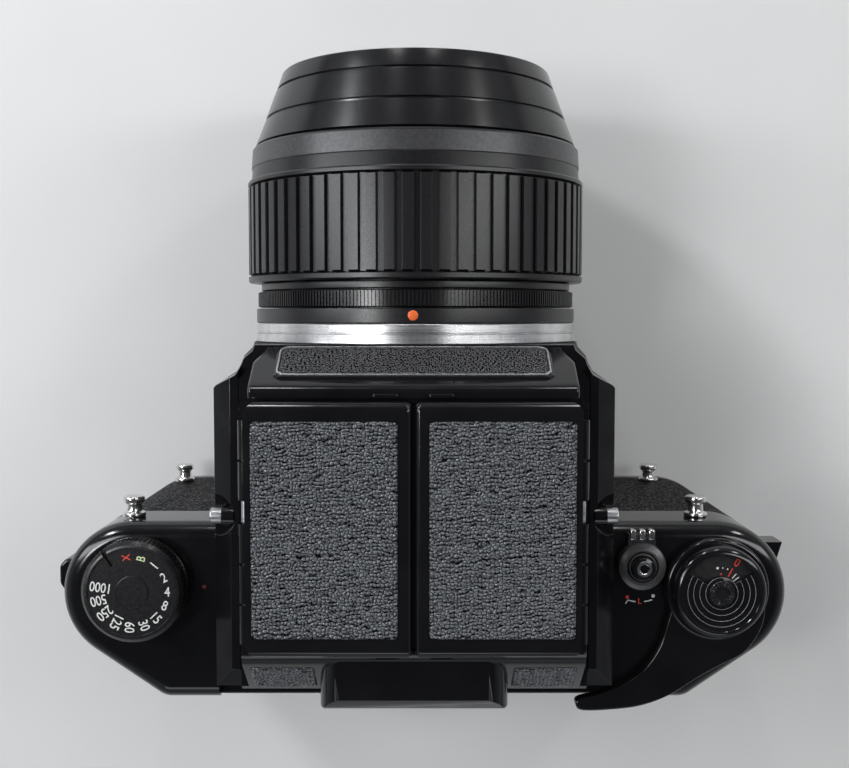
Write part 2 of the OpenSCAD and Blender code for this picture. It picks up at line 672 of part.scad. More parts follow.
module leather_back() color(skin)
  slab([-chamfer_x(right_end, end_r, back_y) + 3, chamfer_x(left_end, end_r, back_y) - 3],
    [back_y, back_y + leather_t], [6, deck_z - 6]);

module door_latch() color(silver) {
  slab(about(left_end + end_r, -0.4, 1), about(end_r, -4.5, 5.5), [30, 44]);
  slab(about(left_end + end_r, -4.6, 0), about(end_r, -1.6, 1.6), [34, 40]);
}

module spool_key(at) color(silver) translate([at[0], at[1], 0]) difference() {
  union() {
    post(knob_r, [0.5, 2.6]);
    post(key_r, [2, spool_floor + 5]);
  }
  for (y = [1.4, -6.4]) slab([-5.4, 5.4], [y, y + 5], [-over, 1.8]);
}

module spool_key_left() spool_key(supply_at);

module spool_key_right() spool_key(takeup_at);

module takeup_spool() color(paint) translate([takeup_at[0], takeup_at[1], 0]) difference() {
  union() {
    post(core_r, [spool_floor + 0.5, ceiling_z - 0.4]);
    post(flange_r, [spool_floor + 0.5, spool_floor + 1.8]);
    post(flange_r, [ceiling_z - 1.7, ceiling_z - 0.4]);
  }
  post(key_r + fit, [0, spool_floor + 7]);
  post(shaft_r + slip, [ceiling_z - 6, ceiling_z + over]);
  slab([-0.6, 0.6], [-10, 10], [spool_floor + 22, ceiling_z - 16]);
}

module takeup_drive() color(brass) translate([takeup_at[0], takeup_at[1], 0]) {
  gear(drive_teeth, mesh_a + 180 + 180 / drive_teeth, [gear_z, gear_z + gear_t]);
  post(shaft_r, [ceiling_z - 5, gear_z + 0.1]);
}

// arm of the advance lever seen from above, from its pivot
arm_outer = [[-12.2, 3.5], [-11.3, 9.5], [-7.3, 15.7], [-1.1, 19.2], [3.9, 22], [11.3, 26.7],
  [18.7, 29.5], [26.2, 30.7], [33.5, 30.9]];
arm_inner = [[34.9, 29.7], [34.5, 27.7], [28.8, 26.4], [22.6, 23.7], [17.6, 19.7], [14.2, 14.5],
  [12.5, 9.1], [11.1, 4.1]];

module advance_lever() color(paint) translate([counter_at[0], counter_at[1], lever_z]) difference() {
  union() {
    cylinder(r = hub_r, h = lever_t);
    linear_extrude(lever_t - 0.6) polygon(concat(arm_outer, arm_inner));
  }
  translate([0, 0, -over]) cylinder(r = sleeve_r + slip, h = lever_t + 2 * over);
}

module wind_gear() color(brass) translate([counter_at[0], counter_at[1], 0]) difference() {
  union() {
    gear(wind_teeth, mesh_a, [gear_z, gear_z + gear_t + 0.3]);
    post(sleeve_r, [gear_z + gear_t + gap, lever_z + lever_t]);
  }
  post(post_r + fit, [0, 100]);
}

module counter_disc() color(paint) translate([counter_at[0], counter_at[1], 0]) difference() {
  union() {
    post(10.2, [counter_z + 0.5, counter_z + 1.3]);
    post(4.4, [counter_z + 0.1, counter_z + 1.3]);
  }
  post(post_r + fit, [0, 100]);
}

module release_button() color(silver) translate([release_at[0], release_at[1], 0]) difference() {
  post(release_r, [deck_z + 2.4, top_z + 6.2]);
  post(cable_r, [top_z + 2.2, top_z + 8]);
}

module lock_collar() color(paint) translate([release_at[0], release_at[1], 0]) difference() {
  union() {
    post(collar_r, [top_z + gap, lever_z + lever_t - 0.2]);
    slab([-3.3, 3.3], [-9.2, -4], [top_z + gap, lever_z + lever_t - 1]);
  }
  post(release_r + 2 * fit + guide_t, [0, 100]);
  for (x = [-2.2, 0, 2.2]) post(0.55, [0, 100], [x, -9.3]);
}

module shutter_dial() color(paint) translate([dial_at[0], dial_at[1], 0]) difference() {
  union() {
    post(dial_r, [top_z + 0.5, top_z + 0.5 + dial_h - 0.6]);
    post(dial_r - 0.6, [top_z + 0.5, top_z + 0.5 + dial_h]);
    post(shaft_r, [ceiling_z, top_z + 1]);
  }
  difference() {
    post(dial_r - 1.9, [top_z + dial_h + 0.1, 100]);
    post(4, [0, 100]);
  }
  rotate(-56) slab([8, dial_r + over], [-0.5, 0.5], [top_z + dial_h - 0.8, 100]);
}

module finder_lock() color(silver) {
  rod_x(lock_r, [box_half - 2.9, box_half + 0.6], lock_y, lock_z);
  rod_x(stem_r, [slot_half - 1.8, box_half - 2.8], lock_y, lock_z);
}

module finder_lock_left() finder_lock();

module finder_lock_right() on_side(-1) finder_lock();

module flap() difference() {
  union() {
    translate([0.4, 0, 0]) intersection() {
      rotate([90, 0, 90]) linear_extrude(pin_x - 0.8) polygon(concat(
        [[flap_front, flap_z]], arc([flap_front + 2.4, flap_top - 2.4], 2.4, 180, 90, 6),
        arc([flap_rear - 2, flap_top - 2], 2, 90, 0, 6), [[flap_rear, flap_z]]));
      translate([0, 0, flap_z - 1]) linear_extrude(flap_t + 2) polygon(concat(
        [[-1, flap_rear], [-1, flap_front]], arc([pin_x - 3.8, flap_front + 3], 3, -90, 0, 6),
        arc([pin_x - 3.8, flap_rear - 3], 3, 0, 90, 6)));
    }
    for (y = [-18.4, 5.6]) {
      rod_y(knuckle_r, [y, y + 8.8], pin_x, pin_z);
      slab([pin_x - 3, pin_x], [y, y + 8.8], [flap_z - 0.1, pin_z + knuckle_r - 0.3]);
    }
  }
  hood_knuckle_rows() rod_y(knuckle_r + gap, [-gap, knuckle_l + gap], pin_x, pin_z);
  rod_y(hood_pin_r + fit, [-40, 40], pin_x, pin_z);
  translate([0, 0, flap_top - 0.5]) linear_extrude(over) leather_plan(0);
}

module leather_plan(inset)
  translate([3.6 + inset, flap_front + 4.5 + inset])
    square([pin_x - 5.4 - 2 * inset, flap_rear - flap_front - 9.2 - 2 * inset]);

module flap_left() color(paint) flap();

module flap_right() color(paint) on_side(-1) flap();

module flap_leather() translate([0, 0, flap_top - 0.5]) linear_extrude(0.5 + leather_rise) leather_plan(slip);

module flap_leather_left() color(skin) flap_leather();

module flap_leather_right() color(skin) on_side(-1) flap_leather();

// ring on the lens between two stations
module lens_ring(r_out, r_in, st) on_lens() difference() {
  translate([0, 0, st[0]]) cylinder(r = r_out, h = st[1] - st[0]);
  translate([0, 0, st[0] - over]) cylinder(r = r_in, h = st[1] - st[0] + 2 * over);
}

module aperture_ring() color(paint)
  lens_ring(mount_r + 0.1, journal_r + fit, [st_aperture, st_aperture + knurl_l]);

module focus_ring() color(paint) on_lens() rotate_extrude() polygon([
  [journal_r + fit, st_grip], [grip_r, st_grip], [grip_r, st_scale], [grip_r - 1, st_scale],
  [grip_r - 1.6, st_scale + 9], [journal_r + fit, st_scale + 9]]);

module front_barrel() color(paint) on_lens() rotate_extrude() polygon([
  [cell_r, st_flange + 8], [tube_r, st_flange + 8], [tube_r, st_nose], [grip_r - 2.2, st_nose],
  [nose_r, st_front], [filter_r, st_front], [filter_r, st_front - 4], [filter_r - 0.5, st_front - 4],
  [filter_r - 0.5, st_front - 5], [cell_r, st_front - 5]]);

module front_trim() color(paint)
  lens_ring(filter_r - 0.5 - slip, cell_r - 4, [st_front - 5, st_front - 4]);

module lens_glass() color(glass) on_lens() {
  intersection() {
    translate([0, 0, st_front - 16]) cylinder(r = cell_r - slip, h = 10.8);
    translate([0, 0, st_front - 75]) sphere(r = 69.5);
  }
  intersection() {
    translate([0, 0, st_flange + 9]) cylinder(r = cell_r - slip, h = 9);
    translate([0, 0, st_flange + 76]) sphere(r = 66.5);
  }
}

module iris_blades() color(alloy) on_lens() translate([0, 0, st_front - 30]) for (i = [0:7])
  rotate(45 * i) linear_extrude(0.4) polygon(concat(arc([0, 0], cell_r - 0.1, 1, 43, 8),
    arc([4, 3], 14, 40, 4, 6)));

module lens_release() color(silver) {
  rod_x(4, [box_half + 2.2, box_half + 4.6], box_front + 14.7, axis_z - 7);
  rod_x(2, [chamber_half + 7, box_half + 2.3], box_front + 14.7, axis_z - 7);
}

body_casting();
top_cover_left();
top_cover_right();
base_cover();
finder_seat();
leather_left();
leather_right();
mount_ring();
mount_screws();
strap_lugs();
tripod_bush();
sync_block();
corner_plate();
battery_cover();
focusing_screen();
shutter_curtains();
shutter_rollers();
mirror_pin();
door_pin();
counter_post();
counter_cover();
counter_screw();
hood_base();
nameplate();
hood_pins();
hood_rear_cover();
hood_walls();
magnifier_frame();
magnifier_lens();
lens_barrel();
mirror_glass();
mirror_holder();
back_door();
pressure_plate();
plate_springs();
leather_back();
door_latch();
spool_key_left();
spool_key_right();
takeup_spool();
takeup_drive();
advance_lever();
wind_gear();
counter_disc();
release_button();
lock_collar();
shutter_dial();
finder_lock_left();
finder_lock_right();
flap_left();
flap_right();
flap_leather_left();
flap_leather_right();
aperture_ring();
focus_ring();
front_barrel();
front_trim();
lens_glass();
iris_blades();
lens_release();
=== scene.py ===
# %% [markdown]
# # Dressing a medium format reflex camera
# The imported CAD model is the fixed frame: each solid already stands at its place, in metres, with the
# lens toward -Y and the shutter dial toward +X. This lesson sets up the view and the studio, mixes one
# node material for each finish, and then models by hand the pieces that carry the looks.

import json
import math
import random

import bmesh
import bpy
from mathutils import Matrix, Vector, noise


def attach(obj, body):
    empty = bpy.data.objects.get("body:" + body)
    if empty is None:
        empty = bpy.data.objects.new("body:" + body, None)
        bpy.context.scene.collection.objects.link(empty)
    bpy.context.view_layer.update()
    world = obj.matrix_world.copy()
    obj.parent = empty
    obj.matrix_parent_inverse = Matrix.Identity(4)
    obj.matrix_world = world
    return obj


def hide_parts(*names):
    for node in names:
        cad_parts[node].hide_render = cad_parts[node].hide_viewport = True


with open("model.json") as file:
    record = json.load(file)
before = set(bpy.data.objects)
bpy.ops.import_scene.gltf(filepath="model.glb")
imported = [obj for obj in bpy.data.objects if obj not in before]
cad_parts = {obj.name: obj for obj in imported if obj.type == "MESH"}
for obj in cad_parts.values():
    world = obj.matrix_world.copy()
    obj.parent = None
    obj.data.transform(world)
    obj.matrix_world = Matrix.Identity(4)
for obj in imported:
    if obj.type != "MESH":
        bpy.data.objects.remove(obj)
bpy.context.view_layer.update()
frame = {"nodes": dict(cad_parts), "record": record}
nodes = frame["nodes"]
body_of = {n: body for body, names in frame["record"]["behaviour"]["bodies"].items() for n in names}
slot_of = {part["node"]: part["material_slot"] for part in frame["record"]["subparts"]}
MM = 0.001
# Heights in mm that many pieces share: the lens axis, and the top of the wing covers.
LENS_AXIS, DECK = 47, 84.0

# %% [markdown]
# ## The view
# The photograph looks straight down on the camera, tipped by only three and a half degrees, from about
# a quarter of a metre above the hood. The place and the focal length were fitted to the mount ring and
# the wing ends, so the camera is written as a matrix of its three directions and nothing is shifted.

# %% Camera at the photograph's angle
# Fitted in pixels: the focal length, and how far the point straight below lies from the picture's middle.
FOCAL, PHOTO_WIDTH, STRAIGHT_BELOW = 1130, 849, 69
SENSOR = 36
TILT = math.atan(STRAIGHT_BELOW / FOCAL)
eye = Vector((-2.5, -52.0, 364.0)) * MM
right = (-1, 0, 0)
up = (0, -math.cos(TILT), -math.sin(TILT))
back = (0, -math.sin(TILT), math.cos(TILT))
bpy.ops.object.camera_add()
camera = bpy.context.object
camera.name = "view_from_above"
camera.matrix_world = Matrix.Translation(eye) @ Matrix((right, up, back)).transposed().to_4x4()
camera.data.sensor_width = SENSOR
camera.data.lens = FOCAL / PHOTO_WIDTH * SENSOR
camera.data.clip_start, camera.data.clip_end = 0.01, 30
bpy.context.scene.camera = camera
print("lens", round(camera.data.lens, 2), "mm")

# %% [markdown]
# ## The studio
# Black enamel shows only what it mirrors. Two long soft boxes, left and right of the lens, draw bright
# lines along the barrel. Two more stand low in front, one to each side, and light the tapered nose and the
# grain of the leather; a grid keeps their light off the floor behind. The left ones are the stronger. Two
# small weak ones far in front only draw the glints on the rolled edges of the flaps, a third does so from
# high on the left, and a wide one fills in from behind. The sky is darker at its top than at its rim, so
# faces turned to the viewer stay black.

# %% Floor, sky and lamps
scene = bpy.context.scene
scene.view_settings.view_transform = "Standard"
bpy.ops.mesh.primitive_plane_add(size=8, location=(0, 0, -0.0001))
floor = bpy.context.object
floor.name = "studio_floor"

sky = bpy.data.worlds.new("studio_sky")
scene.world = sky
sky.use_nodes = True
sky_nodes, sky_links = sky.node_tree.nodes, sky.node_tree.links
sky_place = sky_nodes.new("ShaderNodeTexCoord")
sky_split = sky_nodes.new("ShaderNodeSeparateXYZ")
sky_ramp = sky_nodes.new("ShaderNodeValToRGB")
SKY_RIM, SKY_TOP = (0.34, 0.35, 0.37, 1), (0.05, 0.052, 0.056, 1)
for stop, height, colour in zip(sky_ramp.color_ramp.elements, (0.1, 0.75), (SKY_RIM, SKY_TOP)):
    stop.position, stop.color = height, colour
sky_links.new(sky_place.outputs["Generated"], sky_split.inputs[0])
sky_links.new(sky_split.outputs["Z"], sky_ramp.inputs["Fac"])
sky_links.new(sky_ramp.outputs["Color"], sky_nodes["Background"].inputs["Color"])


def soft_box(name, at, aim, size, watts, colour, spread=180):
    """A rectangular lamp that looks from one point to another, both in metres. A grid narrows its spread."""
    bpy.ops.object.light_add(type="AREA", location=at)
    lamp = bpy.context.object
    lamp.name = name
    lamp.data.shape = "RECTANGLE"
    lamp.data.size, lamp.data.size_y = size
    lamp.data.energy, lamp.data.color, lamp.data.spread = watts, colour, math.radians(spread)
    lamp.rotation_euler = (Vector(aim) - Vector(at)).to_track_quat("-Z", "Y").to_euler()


COOL, WARM, WHITE, GRID = (0.95, 0.97, 1.0), (1.0, 0.98, 0.96), (1.0, 1.0, 1.0), 90
soft_box("left_box", (0.50, -0.16, 0.52), (0, -0.04, 0.08), (0.16, 0.60), 2.0, COOL)
soft_box("right_box", (-0.48, -0.16, 0.54), (0, -0.04, 0.08), (0.14, 0.60), 1.3, (0.98, 0.99, 1.0))
soft_box("front_left_box", (0.64, -0.70, 0.54), (0, -0.05, 0.1), (0.12, 0.24), 0.8, COOL, GRID)
soft_box("front_right_box", (-0.62, -0.70, 0.54), (0, -0.05, 0.1), (0.12, 0.24), 0.29, WARM, GRID)
soft_box("left_glint", (0.14, -0.75, 0.34), (0, -0.03, 0.11), (0.045, 0.22), 0.6, WHITE)
soft_box("right_glint", (-0.15, -0.75, 0.34), (0, -0.03, 0.11), (0.045, 0.22), 0.4, WHITE)
soft_box("top_glint", (0.42, -0.02, 0.72), (0, 0, 0.09), (0.09, 0.16), 0.9, WHITE)
soft_box("rear_box", (0.05, 0.70, 0.60), (0, 0, 0.06), (0.80, 0.25), 0.9, COOL)

# %% [markdown]
# ## Mixing finishes
# Every finish is a Principled shader fed by a few textures on Object coordinates. The helpers below name
# what a painter would do: spots of a size in millimetres, a shade between two colours, a value that
# varies, and a relief that tilts the light. A coat has all three in spots, and most finishes are one. What
# is the same all over stays on the shader's own socket.

# %% Helpers for finishes
def finish(name, colour, rough, metal=0.0, **sockets):
    mat = bpy.data.materials.new(name)
    mat.use_nodes = True
    values = {"Base Color": (*colour, 1), "Roughness": rough, "Metallic": metal}
    values.update({key.replace("_", " "): value for key, value in sockets.items()})
    for key, value in values.items():
        shader_of(mat).inputs[key].default_value = value
    return mat


def shader_of(mat):
    return mat.node_tree.nodes["Principled BSDF"]


def add(mat, kind, inputs, **settings):
    made = mat.node_tree.nodes.new(kind)
    for key, value in settings.items():
        setattr(made, key, value)
    for key, value in inputs.items():
        if isinstance(value, bpy.types.NodeSocket):
            mat.node_tree.links.new(value, made.inputs[key])
        else:
            made.inputs[key].default_value = value
    return made


def wire(mat, output, socket):
    mat.node_tree.links.new(output, shader_of(mat).inputs[socket])


def place(mat, stretch=(1, 1, 1)):
    start = add(mat, "ShaderNodeTexCoord", {}).outputs["Object"]
    return add(mat, "ShaderNodeMapping", {"Vector": start, "Scale": stretch}).outputs["Vector"]


def spots(mat, size, detail=3.0, stretch=(1, 1, 1)):
    """Noise whose lumps are about that many millimetres across."""
    return add(mat, "ShaderNodeTexNoise", {"Vector": place(mat, stretch), "Scale": 1 / (size * MM),
                                           "Detail": detail}).outputs["Fac"]


def between(mat, fac, low, high, start=0.3, end=0.7):
    return add(mat, "ShaderNodeMapRange", {"Value": fac, "From Min": start, "From Max": end,
                                           "To Min": low, "To Max": high}).outputs["Result"]


def shade(mat, fac, dark, light, start=0.3, end=0.7):
    ramp = add(mat, "ShaderNodeValToRGB", {"Fac": fac})
    for stop, at, colour in zip(ramp.color_ramp.elements, (start, end), (dark, light)):
        stop.position, stop.color = at, (*colour, 1)
    wire(mat, ramp.outputs["Color"], "Base Color")


def relief(mat, height, depth):
    wire(mat, add(mat, "ShaderNodeBump", {"Height": height, "Distance": depth * MM,
                                          "Strength": 1.0}).outputs["Normal"], "Normal")


def coat(name, colour, rough, metal=0.0, tone=None, sheen=None, pits=None, **sockets):
    """A finish that varies in spots of a size and detail, which come first in each of the three.

    Tone ends with a dark and a light colour, sheen with two roughnesses, pits with a depth in mm.
    """
    mat = finish(name, colour, rough, metal, **sockets)
    if tone:
        shade(mat, spots(mat, *tone[:2]), *tone[2:])
    if sheen:
        wire(mat, between(mat, spots(mat, *sheen[:2]), *sheen[2:]), "Roughness")
    if pits:
        relief(mat, spots(mat, *pits[:2]), pits[2])
    return mat


print("finish helpers ready")

# %% [markdown]
# ## Black finishes
# The covers are stoved enamel: very dark, wet-looking, with a faint orange peel and the dull patches that
# hands leave. The lens is anodised, so its gloss is softer and its grain finer. The casting inside is a
# dry crackle paint that swallows light.

# %% Enamel, anodising, casting paint, plastic and cloth
enamel = coat("gloss_enamel", (0.006, 0.006, 0.007), 0.14, IOR=1.52,
              tone=(14, 3, (0.004, 0.004, 0.005), (0.007, 0.007, 0.008)),
              sheen=(6, 6, 0.10, 0.17), pits=(1.6, 2, 0.003))
anodised = coat("satin_anodising", (0.008, 0.008, 0.009), 0.3, IOR=1.5,
                tone=(0.8, 4, (0.006, 0.006, 0.007), (0.010, 0.010, 0.011)),
                sheen=(0.5, 5, 0.27, 0.34), pits=(0.22, 2, 0.004))
lens_gloss = coat("lens_gloss", (0.006, 0.006, 0.007), 0.2, IOR=1.5,
                  tone=(1.2, 4, (0.005, 0.005, 0.006), (0.008, 0.008, 0.009)),
                  sheen=(0.6, 5, 0.17, 0.24), pits=(0.5, 2, 0.002))
satin_grey = coat("satin_scale_band", (0.08, 0.08, 0.082), 0.32, 0.5,
                  tone=(0.8, 4, (0.065, 0.065, 0.067), (0.095, 0.095, 0.097)),
                  sheen=(0.5, 5, 0.28, 0.38))
dial_black = coat("dial_lacquer", (0.008, 0.008, 0.009), 0.28,
                  tone=(1.0, 4, (0.006, 0.006, 0.007), (0.011, 0.011, 0.012)),
                  sheen=(0.4, 4, 0.24, 0.33), pits=(0.3, 2, 0.003))

plate_black = finish("nameplate_lacquer", (0.03, 0.03, 0.032), 0.26)
bumps = add(plate_black, "ShaderNodeAttribute", {}, attribute_name="pebble").outputs["Fac"]
# Painted shade: the field's colour darkens between its grains, where its height is low.
shade(plate_black, bumps, (0.002, 0.002, 0.003), (0.115, 0.115, 0.12), 0.6, 1.0)
wire(plate_black, between(plate_black, spots(plate_black, 0.4, 3), 0.16, 0.26), "Roughness")
wire(plate_black, between(plate_black, bumps, 0.02, 0.9, 0.5, 0.9), "Specular IOR Level")

crackle = coat("dry_casting_paint", (0.014, 0.014, 0.015), 0.62,
               tone=(0.9, 5, (0.008, 0.008, 0.009), (0.024, 0.024, 0.026)),
               sheen=(2.0, 3, 0.52, 0.75), pits=(0.45, 4, 0.05))
plastic = coat("moulded_black", (0.013, 0.013, 0.014), 0.38,
               tone=(8, 3, (0.010, 0.010, 0.011), (0.018, 0.018, 0.019)),
               sheen=(2, 3, 0.32, 0.48), pits=(0.3, 3, 0.01))

cloth = finish("curtain_cloth", (0.012, 0.012, 0.013), 0.8)
weave = add(cloth, "ShaderNodeTexWave", {"Vector": place(cloth), "Scale": 900.0,
                                         "Distortion": 0.4}).outputs["Fac"]
shade(cloth, weave, (0.008, 0.008, 0.009), (0.02, 0.02, 0.022), 0.2, 0.8)
relief(cloth, weave, 0.05)
print("black finishes:", [m.name for m in (enamel, anodised, crackle, plastic, cloth)])

# %% [markdown]
# ## Leather
# The hood wears a leatherette whose grains, each less than a millimetre wide, lie in wavy rows across the
# camera. They are modelled later, and each point of the model carries its height. Here the colour is darkened
# in the creases as painted shade, and the creases stay dull while the tops shine; the field of the nameplate
# above is painted in the same way. The wings and the back wear a rounder grain from a Voronoi texture, whose
# cell borders are also darkened as painted shade.

# %% Coarse and fine leather
hood_leather = finish("coarse_leather", (0.022, 0.022, 0.024), 0.36)
height = add(hood_leather, "ShaderNodeAttribute", {}, attribute_name="pebble").outputs["Fac"]
# Painted shade: the colour darkens toward the creases, where the leather's height is low.
shade(hood_leather, height, (0.002, 0.002, 0.003), (0.12, 0.129, 0.143), 0.28, 1.0)
wire(hood_leather, between(hood_leather, height, 0.4, 0.22, 0.3, 0.8), "Roughness")
wire(hood_leather, between(hood_leather, height, 0.02, 1.0, 0.3, 0.8), "Specular IOR Level")
relief(hood_leather, spots(hood_leather, 0.3, 3), 0.01)

wing_leather = finish("fine_leather", (0.018, 0.018, 0.020), 0.42)
grains = add(wing_leather, "ShaderNodeTexVoronoi", {"Vector": place(wing_leather), "Scale": 1 / (0.8 * MM),
                                                    "Smoothness": 0.3}, feature="SMOOTH_F1").outputs["Distance"]
grain = between(wing_leather, grains, 1.0, 0.0, 0.05, 0.62)
# Painted shade: the colour darkens toward the cell borders, where the relief is low.
shade(wing_leather, grain, (0.003, 0.003, 0.004), (0.022, 0.022, 0.024), 0.2, 0.9)
wire(wing_leather, between(wing_leather, grain, 0.6, 0.34, 0.1, 0.9), "Roughness")
wire(wing_leather, between(wing_leather, grain, 0.05, 0.45, 0.2, 0.8), "Specular IOR Level")
relief(wing_leather, grain, 0.16)
print("leathers:", hood_leather.name, wing_leather.name)

# %% [markdown]
# ## Metals
# The mount ring was turned on a lathe, so its fine lines run round the lens axis: the texture reads only
# the distance from the axis and the place along it. Studs and buttons are polished, with small handling
# marks. Pins, springs and gears inside are plain steel and brass.

# %% Turned silver, polished studs, steel and brass
silver = finish("turned_silver", (0.72, 0.72, 0.73), 0.27, 1.0)
centred = add(silver, "ShaderNodeVectorMath", {0: place(silver), 1: (0.0, 0.0, LENS_AXIS * MM)},
              operation="SUBTRACT").outputs[0]
flat = add(silver, "ShaderNodeVectorMath", {0: centred, 1: (1.0, 0.0, 1.0)}, operation="MULTIPLY").outputs[0]
reach = add(silver, "ShaderNodeVectorMath", {0: flat}, operation="LENGTH").outputs["Value"]
along = add(silver, "ShaderNodeSeparateXYZ", {0: centred}).outputs["Y"]
lathe = add(silver, "ShaderNodeCombineXYZ", {"X": reach, "Y": along}).outputs[0]
lines = add(silver, "ShaderNodeTexNoise", {"Vector": lathe, "Scale": 9000.0, "Detail": 2.0}).outputs["Fac"]
shade(silver, spots(silver, 4, 5), (0.62, 0.62, 0.63), (0.80, 0.80, 0.80))
wire(silver, between(silver, lines, 0.20, 0.36), "Roughness")
relief(silver, lines, 0.004)

chrome = coat("polished_stud", (0.80, 0.79, 0.78), 0.14, 1.0,
              tone=(1.6, 5, (0.66, 0.65, 0.64), (0.86, 0.86, 0.85)),
              sheen=(0.9, 5, 0.09, 0.24), pits=(0.7, 2, 0.004))
border_metal = coat("border_silver", (0.62, 0.62, 0.63), 0.3, 1.0,
                    tone=(1.0, 4, (0.54, 0.54, 0.55), (0.68, 0.68, 0.69)),
                    sheen=(0.5, 4, 0.24, 0.38))
steel = coat("plain_steel", (0.50, 0.50, 0.52), 0.34, 1.0,
             tone=(3, 4, (0.40, 0.40, 0.42), (0.58, 0.58, 0.60)),
             sheen=(1.2, 5, 0.26, 0.44))
relief(steel, spots(steel, 0.25, 2, (6, 1, 1)), 0.006)
dark_steel = coat("blackened_steel", (0.16, 0.16, 0.17), 0.25, 1.0,
                  tone=(0.6, 4, (0.11, 0.11, 0.12), (0.22, 0.22, 0.23)),
                  sheen=(0.4, 4, 0.2, 0.32))
brass = coat("machined_brass", (0.62, 0.46, 0.18), 0.3, 1.0,
             tone=(3, 4, (0.52, 0.37, 0.13), (0.70, 0.53, 0.24)),
             sheen=(1.2, 4, 0.22, 0.4), pits=(0.3, 2, 0.006))
print("metals:", [m.name for m in (silver, chrome, steel, brass)])

# %% [markdown]
# ## Glass and paint
# The lens glass carries a thin coating that tints its gloss, the focusing screen is ground to a fine
# grain, and the mirror is silvered on its face. Numbers and marks are filled with thick paint, slightly
# uneven, as engraved figures are.

# %% Glass, screen, mirror and filling paints
glass = coat("coated_glass", (0.86, 0.93, 0.94), 0.03, IOR=1.52, Transmission_Weight=0.92,
             Coat_Weight=0.5, Coat_Tint=(0.72, 0.62, 0.95, 1),
             tone=(18, 3, (0.80, 0.90, 0.94), (0.90, 0.95, 0.96)), sheen=(5, 4, 0.015, 0.05))
screen = coat("ground_screen", (0.80, 0.83, 0.80), 0.55, Transmission_Weight=0.4,
              tone=(0.6, 3, (0.70, 0.73, 0.70), (0.84, 0.86, 0.83)), pits=(0.12, 2, 0.02))
silvered = coat("silvered_mirror", (0.88, 0.89, 0.91), 0.03, 1.0,
                tone=(12, 3, (0.84, 0.85, 0.87), (0.90, 0.91, 0.93)), sheen=(7, 5, 0.015, 0.06))


def filling_paint(name, colour):
    worn = [0.82 * c for c in colour]
    return coat(name, colour, 0.45, tone=(0.5, 3, worn, colour), pits=(0.25, 2, 0.01))


white_paint = filling_paint("white_filling", (0.80, 0.80, 0.78))
# Pale grey for the counter's steps: a painted highlight for the light their machined edges catch.
step_glint_paint = filling_paint("painted_step_highlight", (0.34, 0.34, 0.35))
red_paint = filling_paint("red_filling", (0.72, 0.06, 0.035))
lime_paint = filling_paint("lime_filling", (0.66, 0.74, 0.42))
dim_red_paint = filling_paint("dim_red_filling", (0.16, 0.016, 0.012))
orange_paint = filling_paint("orange_filling", (0.90, 0.16, 0.03))
pale_floor = coat("pale_floor", (0.78, 0.78, 0.77), 0.9, Specular_IOR_Level=0.1,
                  tone=(60, 3, (0.765, 0.765, 0.76), (0.795, 0.795, 0.785)))
floor.data.materials.append(pale_floor)
print("paints and glass ready")

# %% [markdown]
# ## Selecting, merging and rounding
# A CAD node comes as loose triangles with knife-sharp edges, and real covers have none. A merged copy
# loses its triangle lines, its edges are picked by angle and by place, and a bevel rounds them. Weighted
# normals keep the large faces flat in the light, so only the rounded edges shine. The copy then stands for
# the node, which stays hidden for the simulation.

# %% Helpers for modelling
def clear():
    if bpy.context.object and bpy.context.object.mode != "OBJECT":
        bpy.ops.object.mode_set(mode="OBJECT")
    bpy.ops.object.select_all(action="DESELECT")


def only(piece):
    clear()
    piece.select_set(True)
    bpy.context.view_layer.objects.active = piece


def edit(piece, kind="VERT"):
    only(piece)
    bpy.ops.object.mode_set(mode="EDIT")
    bpy.ops.mesh.select_mode(type=kind)
    bpy.ops.mesh.select_all(action="SELECT")


def settle():
    bpy.ops.object.transform_apply(location=True, rotation=True, scale=True)


def pick(piece, kind, test):
    """Selects in edit mode the faces or edges that pass a test of the element and its middle in mm."""
    edit(piece, kind)
    bpy.ops.mesh.select_all(action="DESELECT")
    mesh = bmesh.from_edit_mesh(piece.data)
    found = 0
    for item in mesh.faces if kind == "FACE" else mesh.edges:
        middle = item.calc_center_median() if kind == "FACE" else (item.verts[0].co + item.verts[1].co) / 2
        if test(item, middle / MM):
            item.select_set(True)
            found += 1
    bmesh.update_edit_mesh(piece.data)
    return found


def tidy(piece, merge=0.012):
    edit(piece)
    bpy.ops.mesh.remove_doubles(threshold=merge * MM)
    bpy.ops.mesh.normals_make_consistent(inside=False)
    clear()


def done(piece, material, body, stands_for=(), smooth=32):
    """Shades the piece, gives it its finish, and sets it on its body."""
    only(piece)
    settle()
    bpy.ops.object.shade_smooth_by_angle(angle=math.radians(smooth))
    step = piece.modifiers.new("flat_faces_stay_flat", "WEIGHTED_NORMAL")
    step.keep_sharp = True
    bpy.ops.object.modifier_apply(modifier=step.name)
    piece.data.materials.clear()
    piece.data.materials.append(material)
    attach(piece, body)
    if stands_for:
        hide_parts(*stands_for)
    print(piece.name, len(piece.data.polygons), "faces on", body)
    return piece


def merged_copy(node):
    piece = bpy.data.objects.new(node + "_finished", nodes[node].data.copy())
    scene.collection.objects.link(piece)
    edit(piece)
    bpy.ops.mesh.customdata_custom_splitnormals_clear()
    bpy.ops.mesh.remove_doubles(threshold=0.002 * MM)
    bpy.ops.mesh.dissolve_limited(angle_limit=math.radians(0.8))
    clear()
    return piece


def round_edges(piece, width, where=lambda m: True, sharp=35, steps=3):
    """Bevels the edges that turn by more than an angle, where a test of their middle in mm says so."""
    found = pick(piece, "EDGE", lambda e, m: len(e.link_faces) == 2 and where(m)
                 and e.calc_face_angle(0) > math.radians(sharp))
    if found:
        bpy.ops.mesh.bevel(offset=width * MM, segments=steps, affect="EDGES", clamp_overlap=True)
    clear()


